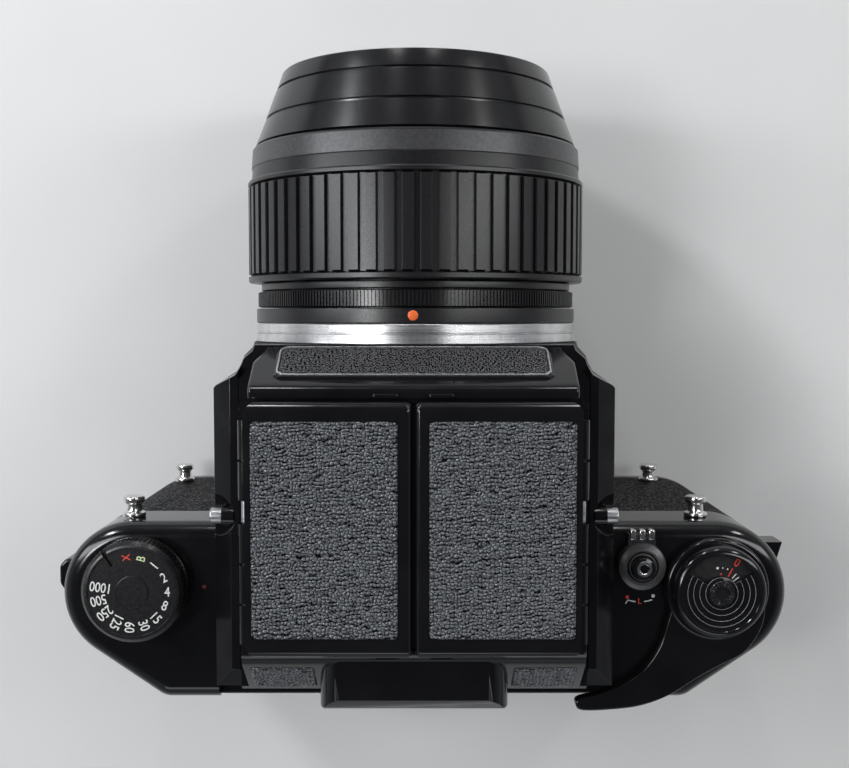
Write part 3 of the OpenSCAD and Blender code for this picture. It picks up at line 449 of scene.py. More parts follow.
def shave(piece, at, away):
    """Cuts off what lies beyond a plane through a point in mm, and closes the cut."""
    edit(piece)
    bpy.ops.mesh.bisect(plane_co=Vector(at) * MM, plane_no=away, use_fill=True, clear_outer=True)
    clear()


def soften(node, width, material, where=lambda m: True):
    piece = merged_copy(node)
    round_edges(piece, width, where, steps=2)
    return done(piece, material, body_of[node], (node,))


print("modelling helpers ready")

# %% [markdown]
# ## First dressing of the frame
# Before any modelling, each CAD node gets the finish of its material slot, so nothing is left grey. The
# nodes that stay as they are, deep inside the body, are finished by this step alone.

# %% Finishes by slot
by_slot = {"alloy": crackle, "enamel": enamel, "leather": wing_leather, "silver": steel, "chrome": chrome,
           "brass": brass, "glass": glass, "screen": screen, "mirror": silvered, "plastic": plastic,
           "cloth": cloth, "steel": steel, "barrel": anodised}
for name, node in nodes.items():
    node.data.materials.clear()
    node.data.materials.append(by_slot[slot_of[name]])
# The steel hinge pins take the dark casting paint: painted shade where they show between the knuckles.
nodes["hood_pins"].data.materials[0] = crackle
print("dressed", len(nodes), "nodes")

# %% [markdown]
# ## Wing covers
# Each wing wears a drawn metal cover with a straight front, a round end and a chamfer at the rear, and a
# rim rolled over by four millimetres. A block modelled from the wing's plan gets its rolled rim from one
# bevel, and two cutters hollow it out for the casting and the door below, which keeps the highlight on
# the rim in one clean curve.

# %% Plates from a plan, and cutting
def plate(name, outline, low, high):
    """A flat piece with that outline in mm, from one height to another."""
    clear()
    bpy.ops.mesh.primitive_circle_add(vertices=len(outline), fill_type="NGON")
    piece = bpy.context.object
    piece.name = name
    for vertex, (x, y) in zip(piece.data.vertices, outline):
        vertex.co = Vector((x, y, low)) * MM
    edit(piece)
    bpy.ops.mesh.extrude_region_move(TRANSFORM_OT_translate={"value": (0, 0, (high - low) * MM)})
    tidy(piece)
    return piece


def combine(piece, other, operation="UNION"):
    """Unites a piece with another one or takes that one away. The other one is used up."""
    only(piece)
    step = piece.modifiers.new("combine", "BOOLEAN")
    step.operation, step.solver, step.object = operation, "EXACT", other
    bpy.ops.object.modifier_apply(modifier=step.name)
    bpy.data.objects.remove(other)


def cut(piece, cutter):
    combine(piece, cutter, "DIFFERENCE")


def along_x(name, radius, x, y, z):
    """A rod in mm that lies across the camera."""
    clear()
    bpy.ops.mesh.primitive_cylinder_add(vertices=48, radius=radius * MM, depth=(x[1] - x[0]) * MM,
                                        rotation=(0, math.pi / 2, 0),
                                        location=Vector(((x[0] + x[1]) / 2, y, z)) * MM)
    piece = bpy.context.object
    piece.name = name
    settle()
    return piece


def oblong(x, y):
    return [(x[0], y[0]), (x[1], y[0]), (x[1], y[1]), (x[0], y[1])]


def arc(centre, radius, start, end, count):
    turns = [math.radians(start + (end - start) * i / count) for i in range(count + 1)]
    return [(centre[0] + radius * math.cos(t), centre[1] + radius * math.sin(t)) for t in turns]


def moved(centre, points):
    return [(centre[0] + x, centre[1] + y) for x, y in points]


print("plates and cutters ready")

# %% Wing covers
CHAMFER = 55.5
WING_END, END_RADIUS = {1: 71.0, -1: 76.0}, 18
WING_INNER, WING_REAR = 49.4, 45


def wing_plan(side, inset, inner=WING_INNER, rear=WING_REAR):
    """Outline of a wing in mm: straight in front, round at its end, with a chamfer at the rear."""
    end, radius = WING_END[side], END_RADIUS - inset
    turn = math.radians(CHAMFER)
    corner = end + (radius - (rear - END_RADIUS) * math.sin(turn)) / math.cos(turn)
    points = [(inner, inset)] + arc((end, END_RADIUS), radius, -90, CHAMFER, 36) + [(corner, rear), (inner, rear)]
    return [(side * x, y) for x, y in points][::side]


for side, node in ((1, "top_cover_left"), (-1, "top_cover_right")):
    cover = plate(node + "_finished", wing_plan(side, 0), 66, DECK)
    round_edges(cover, 1.5, lambda m: m.y > WING_REAR - 0.1 and abs(m.x) > 50 and 67 < m.z < DECK - 1, 20, 4)
    round_edges(cover, 4.0, lambda m: m.z > DECK - 0.01 and abs(m.x) > WING_INNER + 0.01, 35, 8)
    cut(cover, plate("cavity", wing_plan(side, 1.4, 45, 36), 60, 80.4))
    cut(cover, plate("door_room", oblong(sorted((side * 45, side * 100)), (35.8, 50)), 60, 80.3))
    tidy(cover)
    done(cover, enamel, "camera", (node,), 25)

# %% [markdown]
# ## Castings, covers and door with rounded edges
# The other shells already have the right forms in the frame. They only need soft edges: broad ones where
# the hand meets them, fine ones on machined parts. The shoulders of the finder seat also slope off outward,
# so a plane shaves each of them first. Only the sync block is drawn anew, from a slanted plan: it stands
# higher beside the wing than its solid does, and has two sockets.

# %% Rounded shells
soften("base_cover", 0.7, enamel, lambda m: m.z < 0.1 or m.z > 3.9)
seat = merged_copy("finder_seat")
for side in (1, -1):
    shave(seat, (side * 44.6, 0, 92), (side * 0.67, 0, 0.74))
round_edges(seat, 0.6, lambda m: m.z > 91.5 or abs(m.x) > 44)
done(seat, enamel, "camera", ("finder_seat",), 32)
soften("back_door", 0.8, enamel, lambda m: m.y > 44.5)
soften("leather_back", 0.3, wing_leather)
soften("leather_left", 0.15, wing_leather)
soften("leather_right", 0.15, wing_leather)
BLOCK_PLAN = [(85, 11), (90.4, 11), (92, 12.8), (92, 17.4), (89.6, 21), (85, 21)]
block = plate("sync_block_finished", BLOCK_PLAN, 47, 75)
round_edges(block, 0.7, lambda m: m.x > 85.1, 25, 4)
cut(block, plate("wing_room", wing_plan(1, -0.03), 40, 90))
for z in (50.5, 57.5):
    cut(block, along_x("socket", 1.6, (89.6, 93), 16, z))
tidy(block)
done(block, enamel, "camera", ("sync_block",), 35)
soften("corner_plate", 0.5, enamel, lambda m: m.x < -94)
soften("door_latch", 0.3, steel)
soften("battery_cover", 0.25, steel, lambda m: m.z < 0.1)
soften("spool_key_left", 0.25, steel, lambda m: m.z < 2)
soften("spool_key_right", 0.25, steel, lambda m: m.z < 2)
soften("lens_release", 0.4, chrome, lambda m: m.x > 53)
for node in ("finder_lock_left", "finder_lock_right"):
    lock = soften(node, 0.35, steel, lambda m: abs(m.x) > 46)
    lock.data.materials.append(enamel)
    # Only the outer end of the button is bright.
    for face in lock.data.polygons:
        face.material_index = abs(face.center.x) < 46.1 * MM
soften("strap_lugs", 0.15, chrome)
soften("lens_barrel", 0.25, anodised, lambda m: math.hypot(m.x, m.z - LENS_AXIS) > 40)

# %% [markdown]
# ## The folding hood
# The hood stands on the shoulders with a glossy front that leans back under the nameplate. Its front
# corners are rounded like a bar of soap, and the rim in front of the flaps is rolled. The cover behind the
# flaps has round flanks, which planes shave off one after another, as a file would.

# %% Hood body and rear cover
hood = merged_copy("hood_base")
round_edges(hood, 1.2, lambda m: m.y < -33.2 and abs(m.x) < 38.4 and m.z > 93
            and (m.z > 100 or abs(m.x) > 34), 22, 5)
round_edges(hood, 0.35, lambda m: m.z > 91 and (abs(m.x) > 39.5 or m.y > 27), 35, 2)
done(hood, enamel, "camera", ("hood_base",), 40)
catch = merged_copy("hood_rear_cover")
FLANK, FLANK_STEPS = 5.5, 6
for side in (1, -1):
    for step in range(1, FLANK_STEPS):
        turn = step * math.pi / 2 / FLANK_STEPS
        away = Vector((side * math.sin(turn), 0, math.cos(turn)))
        shave(catch, Vector((side * (22.4 - FLANK), 0, 103.2 - FLANK)) + FLANK * away, away)
round_edges(catch, 0.6, lambda m: m.y > 36, 50, 3)
done(catch, enamel, "camera", ("hood_rear_cover",), 40)

# %% [markdown]
# ## Flaps and their leather
# The two flaps meet in the middle with rounded edges. Their leather is set into a shallow recess. It is
# modelled as a fine grid whose grains are real relief. A displacement texture could press it, but none
# gives rows, so a formula does. Each grain is a dome that ends half way to its neighbours' middles, which
# stray from regular places. Deeper creases part the rows, and smooth noise makes them sway, come and go.

# %% Flaps
for node in ("flap_left", "flap_right"):
    flap = merged_copy(node)
    round_edges(flap, 2.7, lambda m: m.z > 109.3 and (m.y < -31 or m.y > 25.5), 35, 8)
    round_edges(flap, 1.3, lambda m: m.z > 106.5 and abs(m.x) < 0.6, 35, 5)
    round_edges(flap, 0.5, lambda m: 106.5 < m.z < 109.5 and 38 < abs(m.x) < 38.6, 35, 3)
    done(flap, enamel, body_of[node], (node,), 40)

# %% Leather of the flaps
draw = random.Random(11)
JITTER = [(draw.random(), draw.random()) for step in range(997)]
STRAY = 0.9
ROW_WIDTH, GRAIN_X, GRAIN_Y, ROUND_GRAIN = 1.02, 0.92, 0.75, 0.5


def grain_middles(u, v):
    """Distances from a place to the grain middles around it, which stray from the middles of unit cells."""
    found = []
    for i in (math.floor(u) - 1, math.floor(u), math.floor(u) + 1):
        for j in (math.floor(v) - 1, math.floor(v), math.floor(v) + 1):
            a, b = JITTER[(57 * i + 131 * j) % len(JITTER)]
            found.append(math.hypot(i + 0.5 + STRAY * (a - 0.5) - u, j + 0.5 + STRAY * (b - 0.5) - v))
    return sorted(found)


def rows_of_grains(x, y):
    """Height of the hood leather at a place in mm: 1 on a grain, 0 in the creases around it."""
    row_at = (y / ROW_WIDTH - 0.08 * x + 0.7 * noise.noise((x / 4, y / 3, 0))
              + 0.45 * noise.noise((x / 1.5, y / 1.2, 5)))
    crease = math.floor(row_at + 0.5)
    deep = min(0.8, max(0.1, 0.5 + 0.9 * noise.noise((x / 1.6, crease * 3.7, 9))))
    sway = 0.6 * noise.noise((x / 1.5, y / 1.5, 3))
    first, second = grain_middles(x / GRAIN_X, y / GRAIN_Y + sway)[:2]
    rise = min(1.0, (second - first) / 0.55)
    return (1 - deep * (1 - abs(math.sin(math.pi * row_at)) ** 0.8)) * (0.25 + 0.75 * rise * (2 - rise))


def round_grains(x, y):
    """Height of the nameplate's grain at a place in mm: 1 in the middle of a grain, 0 between three."""
    return 1 - min(1.0, 1.6 * grain_middles(x / ROUND_GRAIN, y / ROUND_GRAIN)[0] ** 2)


def pebble_grid(name, x, y, z, grain, depth, spacing=0.135):
    """A flat grid in mm, pressed down where its grain is low. Each point keeps that height."""
    clear()
    bpy.ops.mesh.primitive_grid_add(x_subdivisions=round((x[1] - x[0]) / spacing),
                                    y_subdivisions=round((y[1] - y[0]) / spacing), size=1)
    piece = bpy.context.object
    piece.name = name
    piece.scale = ((x[1] - x[0]) * MM, (y[1] - y[0]) * MM, 1)
    piece.location = Vector(((x[0] + x[1]) / 2, (y[0] + y[1]) / 2, z)) * MM
    settle()
    pebble = piece.data.attributes.new("pebble", "FLOAT", "POINT")
    for value, vertex in zip(pebble.data, piece.data.vertices):
        value.value = grain(vertex.co.x / MM, vertex.co.y / MM)
        vertex.co.z -= depth * (1 - value.value) * MM
    return piece


def turn_down(piece, x, y, top, bottom, corner):
    """Rounds the corners and the border of a grid and closes it below."""
    for vertex in piece.data.vertices:
        point = vertex.co / MM
        near = Vector((min(max(point.x, x[0] + corner), x[1] - corner),
                       min(max(point.y, y[0] + corner), y[1] - corner)))
        out = point.xy - near
        if out.length > corner:
            point.xy = near + out.normalized() * corner
        edge = corner - min(out.length, corner) if out.length > 0 else corner
        point.z = min(point.z, top) - 0.3 * max(0.0, 1 - edge / min(corner, 0.5)) ** 2
        vertex.co = point * MM
    edit(piece)
    bpy.ops.mesh.region_to_loop()
    bpy.ops.mesh.extrude_region_move(TRANSFORM_OT_translate={"value": (0, 0, 0)})
    bpy.ops.transform.resize(value=(1, 1, 0), center_override=(0, 0, bottom * MM))
    bpy.ops.mesh.edge_face_add()
    tidy(piece, 0.004)


PAD_Y, PAD_TOP, PAD_BOTTOM = (-27.88, 22.08), 109.98, 108.92
for side, node in ((1, "flap_leather_left"), (-1, "flap_leather_right")):
    across = sorted((side * 3.62, side * 37.08))
    pad = pebble_grid(node + "_finished", across, PAD_Y, PAD_TOP, rows_of_grains, 0.5)
    turn_down(pad, across, PAD_Y, PAD_TOP, PAD_BOTTOM, 1.0)
    done(pad, hood_leather, body_of[node], (node,), 60)

# %% [markdown]
# ## Nameplate and rear patches
# The nameplate stays bare here: a pebbled field inside a thin bright border, on a bed with sloping flanks
# that leans back with the front of the hood. Two small leather patches slope down behind the flaps. All are
# made flat and then tipped onto their slope; the field and the patches are grids like the leather of the
# flaps. Four low ridges before and behind the flaps give the fingers a hold.

# %% Pieces on the slopes of the hood
def lean(piece, origin, run):
    """Tips a flat piece so that its y direction follows a slope in the y-z plane."""
    only(piece)
    y, z = run
    slope = Matrix(((1, 0, 0), (0, y, -z), (0, z, y))).to_4x4()
    piece.matrix_world = Matrix.Translation(Vector(origin) * MM) @ slope
    settle()


FRONT_AT, FRONT_RUN = (0, -44.2, 91.6), (0.5, 0.8660)


def plate_plan(grow):
    """The nameplate's outline, grown all round: round corners toward the lens, cut ones toward the flaps."""
    half, near, far, r = 32 + grow, 1 - grow, 13.5 + grow, 2.3 + grow
    return (arc((r - half, near + r), r, 180, 270, 8) + arc((half - r, near + r), r, 270, 360, 8)
            + [(half, far - 1.2), (half - 1.2, far), (1.2 - half, far), (-half, far - 1.2)])


bed = plate("nameplate_bed", plate_plan(0.75), -0.1, 0.5)
round_edges(bed, 0.55, lambda m: m.z > 0.49, 35, 1)
lean(bed, FRONT_AT, FRONT_RUN)
done(bed, enamel, "camera", (), 20)
FIELD_X, FIELD_Y, FIELD_TOP = (-31.5, 31.5), (1.5, 13.0), 0.95
field = pebble_grid("nameplate_field", FIELD_X, FIELD_Y, FIELD_TOP, round_grains, 0.2, 0.115)
turn_down(field, FIELD_X, FIELD_Y, FIELD_TOP, 0.45, 1.9)
lean(field, FRONT_AT, FRONT_RUN)
done(field, plate_black, "camera", ("nameplate",), 60)
border = plate("nameplate_border", plate_plan(0.0), 0.45, 1.05)
cut(border, plate("window", plate_plan(-0.5), -1, 2))
round_edges(border, 0.12, lambda m: m.z > 1.0, 40, 2)
lean(border, FRONT_AT, FRONT_RUN)
done(border, border_metal, "camera", (), 35)

PATCH_Y, PATCH_AT, PATCH_RUN = (1.6, 12.8), (0, 30.3, 102.6), (0.6388, -0.7692)
for side, name in ((1, "rear_patch_left"), (-1, "rear_patch_right")):
    across = sorted((side * 23.6, side * 38.8))
    patch = pebble_grid(name, across, PATCH_Y, 0.5, rows_of_grains, 0.34)
    turn_down(patch, across, PATCH_Y, 0.55, -0.2, 1.0)
    lean(patch, PATCH_AT, PATCH_RUN)
    done(patch, hood_leather, "camera", (), 60)


def stadium(x, y, half):
    """Outline of a bar with round ends."""
    return arc((x[1] - half, y), half, -90, 90, 8) + arc((x[0] + half, y), half, 90, 270, 8)


for x in ((3.5, 9.4), (-9.4, -3.5)):
    for y, z in ((-33.5, 106.0), (28.4, 102.9)):
        grip = plate("finger_grip", stadium(x, y, 0.55), z, z + 0.9)
        round_edges(grip, 0.35, lambda m: m.z > z + 0.85, 35, 3)
        done(grip, enamel, "camera", (), 40)

# %% [markdown]
# ## Turned parts
# Rings and knobs are drawn the way a lathe cuts them: one circle is pulled along its axis and widened or
# narrowed at each step of a profile. Knurling comes last, by raising chosen faces round the rim.

# %% Turning and knurling
def turned(name, profile, at=None, steps=128, ring=True):
    """Turns (radius, place) pairs in mm round the lens axis, or upright round a point."""
    def centre(spot):
        return Vector((0, -spot, LENS_AXIS) if at is None else (at[0], at[1], spot)) * MM

    clear()
    bpy.ops.mesh.primitive_circle_add(vertices=steps, radius=profile[0][0] * MM, location=centre(profile[0][1]),
                                      rotation=(math.pi / 2 if at is None else 0, 0, 0))
    piece = bpy.context.object
    piece.name = name
    settle()
    edit(piece)
    for (r0, p0), (r1, p1) in zip(profile, profile[1:] + profile[:1] * ring):
        bpy.ops.mesh.extrude_region_move(TRANSFORM_OT_translate={"value": centre(p1) - centre(p0)})
        wider = r1 / r0
        bpy.ops.transform.resize(value=(wider, 1, wider) if at is None else (wider, wider, 1),
                                 center_override=centre(p1))
    tidy(piece)
    if not ring:
        edit(piece)
        bpy.ops.mesh.fill_holes(sides=0)
        tidy(piece)
    return piece


def knurl(piece, steps, low, high, least, chosen, inset, height, at=None, each=True):
    """Raises the chosen faces of a band, numbered round the axis."""
    def test(face, m):
        a, b, spot = (m.x, m.z - LENS_AXIS, -m.y) if at is None else (m.x - at[0], m.y - at[1], m.z)
        number = int(math.atan2(b, a) % math.tau / math.tau * steps)
        return low < spot < high and math.hypot(a, b) > least and chosen(number)

    pick(piece, "FACE", test)
    bpy.ops.mesh.inset(thickness=inset * MM, depth=height * MM, use_individual=each)
    clear()


print("lathe ready")

# %% [markdown]
# ## The lens
# From the mount forward: the mount ring with its three lugs, a fine-toothed aperture ring, the focusing
# ring with broad ribs between two plain lips, a smooth scale band, and the tapering front with its filter
# thread. A dot on the top of the barrel is the mark for both rings.

# %% Mount, aperture ring, focusing ring and front
BAYONET = 33.4
mount = turned("mount_ring_finished", [
    (BAYONET, 44.75), (43.7, 44.75), (44.0, 45.05), (44.0, 47.1), (43.55, 47.3), (43.55, 47.5), (43.9, 47.65),
    (43.9, 49.6), (43.6, 49.95), (BAYONET, 49.95)], steps=180)
knurl(mount, 180, 47.7, 49.5, 43.7, lambda i: i % 60 in range(31, 59), 0.05, 0.6, each=False)
done(mount, silver, "camera", ("mount_ring",), 30)
aperture = turned("aperture_ring_finished", [
    (38.1, 54.0), (42.8, 54.0), (43.15, 54.2), (43.15, 58.1), (42.8, 58.3), (38.1, 58.3)], steps=576)
knurl(aperture, 576, 54.3, 58.0, 43, lambda i: i % 2, 0.06, 0.32)
done(aperture, lens_gloss, body_of["aperture_ring"], ("aperture_ring",), 25)

grip = turned("focus_ring_finished", [
    (38.1, 60.7), (45.6, 60.7), (46, 61.1), (46, 62.2), (44.9, 62.7), (44.9, 86.2), (46, 86.7), (46, 87.5),
    (45.7, 87.9), (45.0, 87.9), (44.75, 91.2), (44.9, 91.4), (44.6, 96.4), (44.2, 96.9), (38.1, 96.9)], steps=192)
knurl(grip, 192, 63, 86, 44.5, lambda i: i % 3, 0.25, 1.05, each=False)
done(grip, anodised, body_of["focus_ring"], ("focus_ring",), 25)
band = turned("scale_band", [(44.5, 91.5), (44.98, 91.5), (44.7, 96.3), (44.3, 96.3)], steps=144)
done(band, satin_grey, body_of["focus_ring"], (), 30)

front = turned("front_barrel_finished", [
    (31.2, 58.0), (35.3, 58.0), (35.3, 97.3), (43.4, 97.3), (43.8, 97.6), (41.3, 104.0), (40.8, 104.2),
    (40.6, 104.8), (41.0, 105.0), (38.4, 112.0), (37.8, 112.2), (37.6, 112.7), (38.0, 112.9), (36.6, 116.9),
    (36.2, 117.3), (34.2, 117.3), (33.7, 116.9), (33.9, 116.5), (33.6, 116.2), (33.9, 115.9), (33.6, 115.6),
    (33.9, 115.3), (33.6, 115.0), (33.9, 114.7), (33.5, 114.3), (33.5, 113.3), (33.0, 113.3), (33.0, 112.3),
    (31.2, 112.3)], steps=144)
done(front, lens_gloss, body_of["front_barrel"], ("front_barrel",), 30)
soften("front_trim", 0.2, anodised)
index = turned("index_dot", [(1.25, 90.3), (1.25, 90.95), (1.05, 91.05), (0.005, 91.1)], (0.3, -51.9), 32,
               ring=False)
done(index, orange_paint, "camera", (), 40)

# %% [markdown]
# ## Marks and figures
# Figures are written with the plain built-in letters, made a mesh, squeezed to the narrow engraved form
# and set on their dials. The photograph looks from the user's side, so everything on the top is turned
# by half a turn.

# %% Helpers for marks
# The thickness of paint in mm, and a letter's height and boldness as shares of its size and height.
PAINT, CAPITAL, BOLD = 0.06, 0.73, 0.012


def joined(name, pieces):
    clear()
    for piece in pieces:
        piece.select_set(True)
    bpy.context.view_layer.objects.active = pieces[0]
    if len(pieces) > 1:
        bpy.ops.object.join()
    pieces[0].name = name
    return pieces[0]


def figures(name, signs, material, body, squeeze=0.8):
    """Raised signs, each a text with x, y, z and height in mm and a turn in degrees."""
    made = []
    for text, x, y, z, height, turn in signs:
        clear()
        bpy.ops.object.text_add()
        words = bpy.context.object
        words.data.body, words.data.size, words.data.extrude = text, height / CAPITAL * MM, PAINT / 2 * MM
        words.data.offset = BOLD * height * MM
        bpy.ops.object.convert(target="MESH")
        sign = bpy.context.object
        bpy.ops.object.origin_set(type="ORIGIN_GEOMETRY", center="BOUNDS")
        sign.location, sign.rotation_euler.z = Vector((x, y, z)) * MM, math.radians(turn)
        sign.scale.x = squeeze
        settle()
        made.append(sign)
    piece = joined(name, made)
    tidy(piece, 0.001)
    done(piece, material, body, (), 30)


def marks(name, outlines, z, material, body):
    """Painted spots and strips with those outlines."""
    piece = joined(name, [plate(name, outline, z, z + PAINT) for outline in outlines])
    done(piece, material, body, (), 30)


def bar(centre, turn, start, end, width):
    """Outline of a strip that runs outward from a centre at an angle in degrees."""
    along = Vector((math.cos(math.radians(turn)), math.sin(math.radians(turn))))
    across = Vector((-along.y, along.x)) * width / 2
    corners = ((start, -1), (end, -1), (end, 1), (start, 1))
    return [tuple(Vector(centre) + along * r + across * s) for r, s in corners]


def round_dot(x, y, radius):
    return arc((x, y), radius, 0, 350, 35)


def from_above(centre, turn, reach):
    """A point at an angle as the photograph sees it, where right is -X and up is -Y."""
    return centre[0] - reach * math.cos(math.radians(turn)), centre[1] - reach * math.sin(math.radians(turn))


print("marks and figures ready")

# %% [markdown]
# ## Shutter dial
# A knurled knob with a chamfered rim, a recessed face, a low hub and a black notch. The thirteen settings
# read outward from the hub.

# %% Dial and its figures
DIAL, DIAL_FACE = (69.1, 15.7), 91.44
dial = turned("shutter_dial_finished", [
    (12.3, 84.5), (12.65, 84.8), (12.65, 85.6), (12.3, 85.8), (12.3, 90.2), (12.55, 90.4), (12.55, 90.8),
    (11.7, 91.7), (11.3, 91.8), (11.0, 91.8), (10.85, 91.6), (10.8, 91.42), (4.1, 91.42), (4.02, 91.6),
    (3.9, 91.62), (3.8, 91.45), (0.005, 91.45)], DIAL, 144, ring=False)
knurl(dial, 144, 86, 90, 12, lambda i: i % 2, 0.06, 0.3, DIAL)
cut(dial, plate("notch", bar(DIAL, -56, 8, 14, 1.25), 90.6, 93))
tidy(dial)
done(dial, dial_black, body_of["shutter_dial"], ("shutter_dial",), 30)

speeds = [("1", 50), ("2", 25), ("4", 1), ("8", -22), ("15", -47), ("30", -70), ("60", -94), ("125", -117),
          ("250", -142), ("500", -166), ("1000", -189)]
REACH = {1: 8.7, 2: 8.7, 3: 8.4, 4: 7.9}
signs = [(text, *from_above(DIAL, turn, REACH[len(text)]), DIAL_FACE, 2.5, 180 + turn) for text, turn in speeds]
figures("speed_figures", signs, white_paint, "dial")
figures("flash_speed", [("X", *from_above(DIAL, 98, REACH[1]), DIAL_FACE, 2.1, 278)], red_paint, "dial")
figures("bulb_setting", [("B", *from_above(DIAL, 74, REACH[1]), DIAL_FACE, 2.2, 254)], lime_paint, "dial")
marks("dial_index", [round_dot(52.8, 16.1, 0.5)], DECK, dim_red_paint, "camera")

# %% [markdown]
# ## Small fittings of the hood
# A dark bush lies round each finder lock button. It is turned upright, and then laid across the camera. A
# bright sleeve shows on the hinge of each flap.

# %% Bright hinge sleeves, and bushes of the finder locks
for side in (1, -1):
    bush = turned("lock_bush", [(2.12, 43.9), (2.45, 43.9), (2.45, 46.8), (2.35, 46.95), (2.2, 47.0), (2.12, 46.9)],
                  (0, 0), 48)
    bush.rotation_euler.y, bush.location = side * math.pi / 2, (0, -3 * MM, 90 * MM)
    done(bush, enamel, "camera", (), 40)
    clear()
    bpy.ops.mesh.primitive_cylinder_add(vertices=24, radius=0.78 * MM, depth=5.0 * MM, rotation=(math.pi / 2, 0, 0),
                                        location=(side * 38.9 * MM, -6.8 * MM, 106 * MM))
    sleeve = bpy.context.object
    sleeve.name = "hinge_sleeve"
    settle()
    round_edges(sleeve, 0.15, sharp=60)
    done(sleeve, steel, "camera", (), 40)

# %% [markdown]
# ## Frame counter and lever
# The cover over the counter has a rounded shoulder, fine steps whose pale grey paint is a painted highlight
# for the light on their machined edges, and a window like a slice of a ring.
# Below it the disc carries its marks and turns with the lever. The lever's arm sweeps round to the back: its
# outline is a smooth line through a few points, and it is united with a turned hub.

# %% Counter cover, hub and disc marks
COUNTER, DISC = (-75.1, 15.9), 89.8
opening = arc(COUNTER, 9.4, -147, -32, 40) + arc(COUNTER, 4.0, -32, -147, 24)
shoulder = arc((9.6, 90.1), 1.8, 0, 90, 8)
lid = turned("counter_cover_finished", [(11.4, 88.5)] + shoulder + [(9.5, 91.8), (0.005, 91.8)],
             COUNTER, 144, ring=False)
cut(lid, plate("below", round_dot(*COUNTER, 10.6), 88, 90.4))
cut(lid, plate("window", opening, 88, 93))
tidy(lid)
round_edges(lid, 0.1, lambda m: m.z > 91.7 and math.hypot(m.x - COUNTER[0], m.y - COUNTER[1]) < 9.45, 60, 2)
done(lid, enamel, "camera", ("counter_cover",), 30)
# The steps' pale grey paint is a painted highlight, standing for the light on their bare machined edges.
for radius in (3.95, 5.4, 6.9, 8.3):
    step = turned("counter_step", [(radius - 0.11, 91.7), (radius + 0.11, 91.7), (radius, 91.92)], COUNTER, 96)
    cut(step, plate("window", opening, 88, 93))
    tidy(step, 0.002)
    done(step, step_glint_paint, "camera", (), 20)
hub = turned("counter_screw_finished", [
    (3.1, 91.6), (3.1, 92.1), (2.9, 92.3), (1.8, 92.3), (1.6, 92.0), (0.005, 91.95)], COUNTER, 64, ring=False)
done(hub, dial_black, "camera", ("counter_screw",), 30)
beads = turned("counter_beads", [(2.75, 92.2), (2.7, 92.4), (2.0, 92.4), (1.95, 92.2)], COUNTER, 64)
knurl(beads, 64, 92.3, 92.5, 1.9, lambda i: i % 4 < 2, 0.06, 0.3, COUNTER, each=False)
done(beads, dark_steel, "camera", (), 30)

figures("counter_zero", [("0", *from_above(COUNTER, 60, 8.4), DISC + 0.02, 2.3, 150)], red_paint, "counter")
red_dot = round_dot(*from_above(COUNTER, 87, 4.4), 0.22)
marks("counter_red_tick", [bar(COUNTER, 242, 4.2, 6.6, 0.3), red_dot], DISC, red_paint, "counter")
white_dots = [round_dot(*from_above(COUNTER, turn, 5.9), radius)
              for turn, radius in ((96, 0.34), (84, 0.16), (72, 0.2))]
white_bars = [bar(COUNTER, 228, 4.4, 6.0, 0.22), bar(COUNTER, 218, 4.2, 5.9, 0.22)]
marks("counter_white_ticks", white_bars + white_dots, DISC, white_paint, "counter")

# %% Advance lever
def curve(before, start, end, after, t):
    """A cubic from start to end that leaves and arrives in the directions given by its neighbours."""
    bend = before - 2.5 * start + 2 * end - after / 2
    return start + t * (end - before) / 2 + t * t * bend + t ** 3 * (1.5 * (start - end) + (after - before) / 2)


def flowing(points, steps=6):
    """A smooth line through points."""
    line = []
    for four in zip(points[:1] + points, points, points[1:], points[2:] + points[-1:]):
        for step in range(steps):
            line.append(tuple(curve(*along, step / steps) for along in zip(*four)))
    return line + points[-1:]


ARM = [(-12.2, 3.5), (-11.3, 9.5), (-7.3, 15.7), (-1.1, 19.2), (3.9, 22), (11.3, 26.7), (18.7, 29.5), (26.2, 30.5),
       (33.0, 30.7), (34.8, 29.6), (34.2, 27.8), (28.8, 26.4), (22.6, 23.7), (17.6, 19.7), (14.2, 14.5), (12.5, 9.1),
       (11.1, 4.1)]
ARM_LOW = 84.5
arm = plate("arm", moved(COUNTER, flowing(ARM)), ARM_LOW, 87.6)
round_edges(arm, 1.3, lambda m: m.z > 87.5, 35, 6)
cut(arm, plate("hub_room", round_dot(*COUNTER, 9), 80, 95))
rim = arc((11.9, 87.3), 0.9, 15, 90, 5)
lever = turned("advance_lever_finished", [(7.0, ARM_LOW), (12.8, ARM_LOW), (12.8, 87.3)] + rim + [(7.0, 88.2)],
               COUNTER, 144)
combine(lever, arm)
tidy(lever)
done(lever, enamel, body_of["advance_lever"], ("advance_lever",), 40)

# %% [markdown]
# ## Release button and lock
# The button is a black cup with a bright threaded bush for a cable. It rises through a guide, and the lock
# collar around it carries a small silver tab with three prongs.

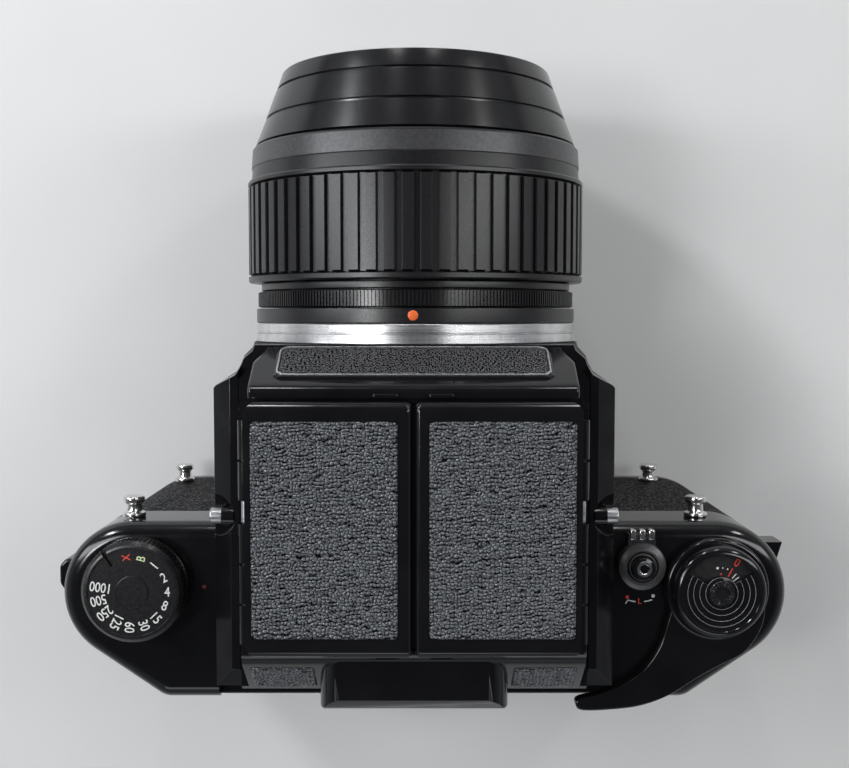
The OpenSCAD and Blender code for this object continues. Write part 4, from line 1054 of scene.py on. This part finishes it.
# %% Release, guide, collar and their marks
RELEASE = (-56.5, 10.3)
button = turned("release_button_finished", [
    (2.9, 82.4), (2.9, 89.4), (2.6, 89.95), (2.0, 90.1), (1.99, 89.0), (0.005, 89.0)], RELEASE, 64, ring=False)
done(button, enamel, body_of["release_button"], ("release_button",), 35)
bush = turned("release_bush", [
    (1.98, 88.9), (1.98, 90.05), (1.85, 90.2), (1.3, 90.2), (1.12, 90.05), (1.1, 88.9)], RELEASE, 64)
done(bush, chrome, body_of["release_button"], (), 35)
guide = turned("release_guide", [
    (3.6, 83.6), (3.6, 87.8), (3.4, 88.15), (3.1, 88.2), (2.95, 87.9), (2.95, 83.6)], RELEASE, 64)
done(guide, satin_grey, "camera", (), 35)
collar = turned("lock_collar_finished", [
    (6, 84.35), (6, 86.9), (5.75, 87.4), (4.9, 87.75), (4.3, 88.0), (3.9, 87.95), (3.72, 87.5), (3.72, 84.35)],
    RELEASE, 72)
done(collar, satin_grey, body_of["lock_collar"], ("lock_collar",), 30)
TAB_LOW = 84.4
foot = [(-3.5, -4.9), (-3.3, -8.0), (3.3, -8.0), (3.5, -4.9)]
tab = plate("lock_tab", moved(RELEASE, foot), TAB_LOW, 86.6)
done(tab, dark_steel, body_of["lock_collar"], (), 35)
for x in (-2.3, 0, 2.3):
    middle = RELEASE[0] + x
    outline = oblong((middle - 0.75, middle + 0.75), (RELEASE[1] - 9.2, RELEASE[1] - 6.6))
    prong = plate("lock_prong", outline, TAB_LOW, 87.2)
    round_edges(prong, 0.35, lambda m: m.z > 86 or m.y < RELEASE[1] - 9, 35, 3)
    done(prong, chrome, body_of["lock_collar"], (), 35)
marks("release_set", [round_dot(-53.4, 18.7, 0.45)], DECK, red_paint, "camera")
marks("release_free", [round_dot(-59.9, 18.4, 0.45)], DECK, white_paint, "camera")
figures("lock_letter", [("L", -56.6, 19.7, DECK + 0.03, 1.5, 180)], red_paint, "camera", 1.0)
sweep = [arc(RELEASE, 9.75, a, b, 8) + arc(RELEASE, 9.45, b, a, 8) for a, b in ((72, 84), (97, 109))]
marks("lock_arrow", sweep + [bar(from_above(RELEASE, 252, 9.6), 62, -0.1, 1.1, 0.28)], DECK, white_paint, "camera")
print("top marks done")
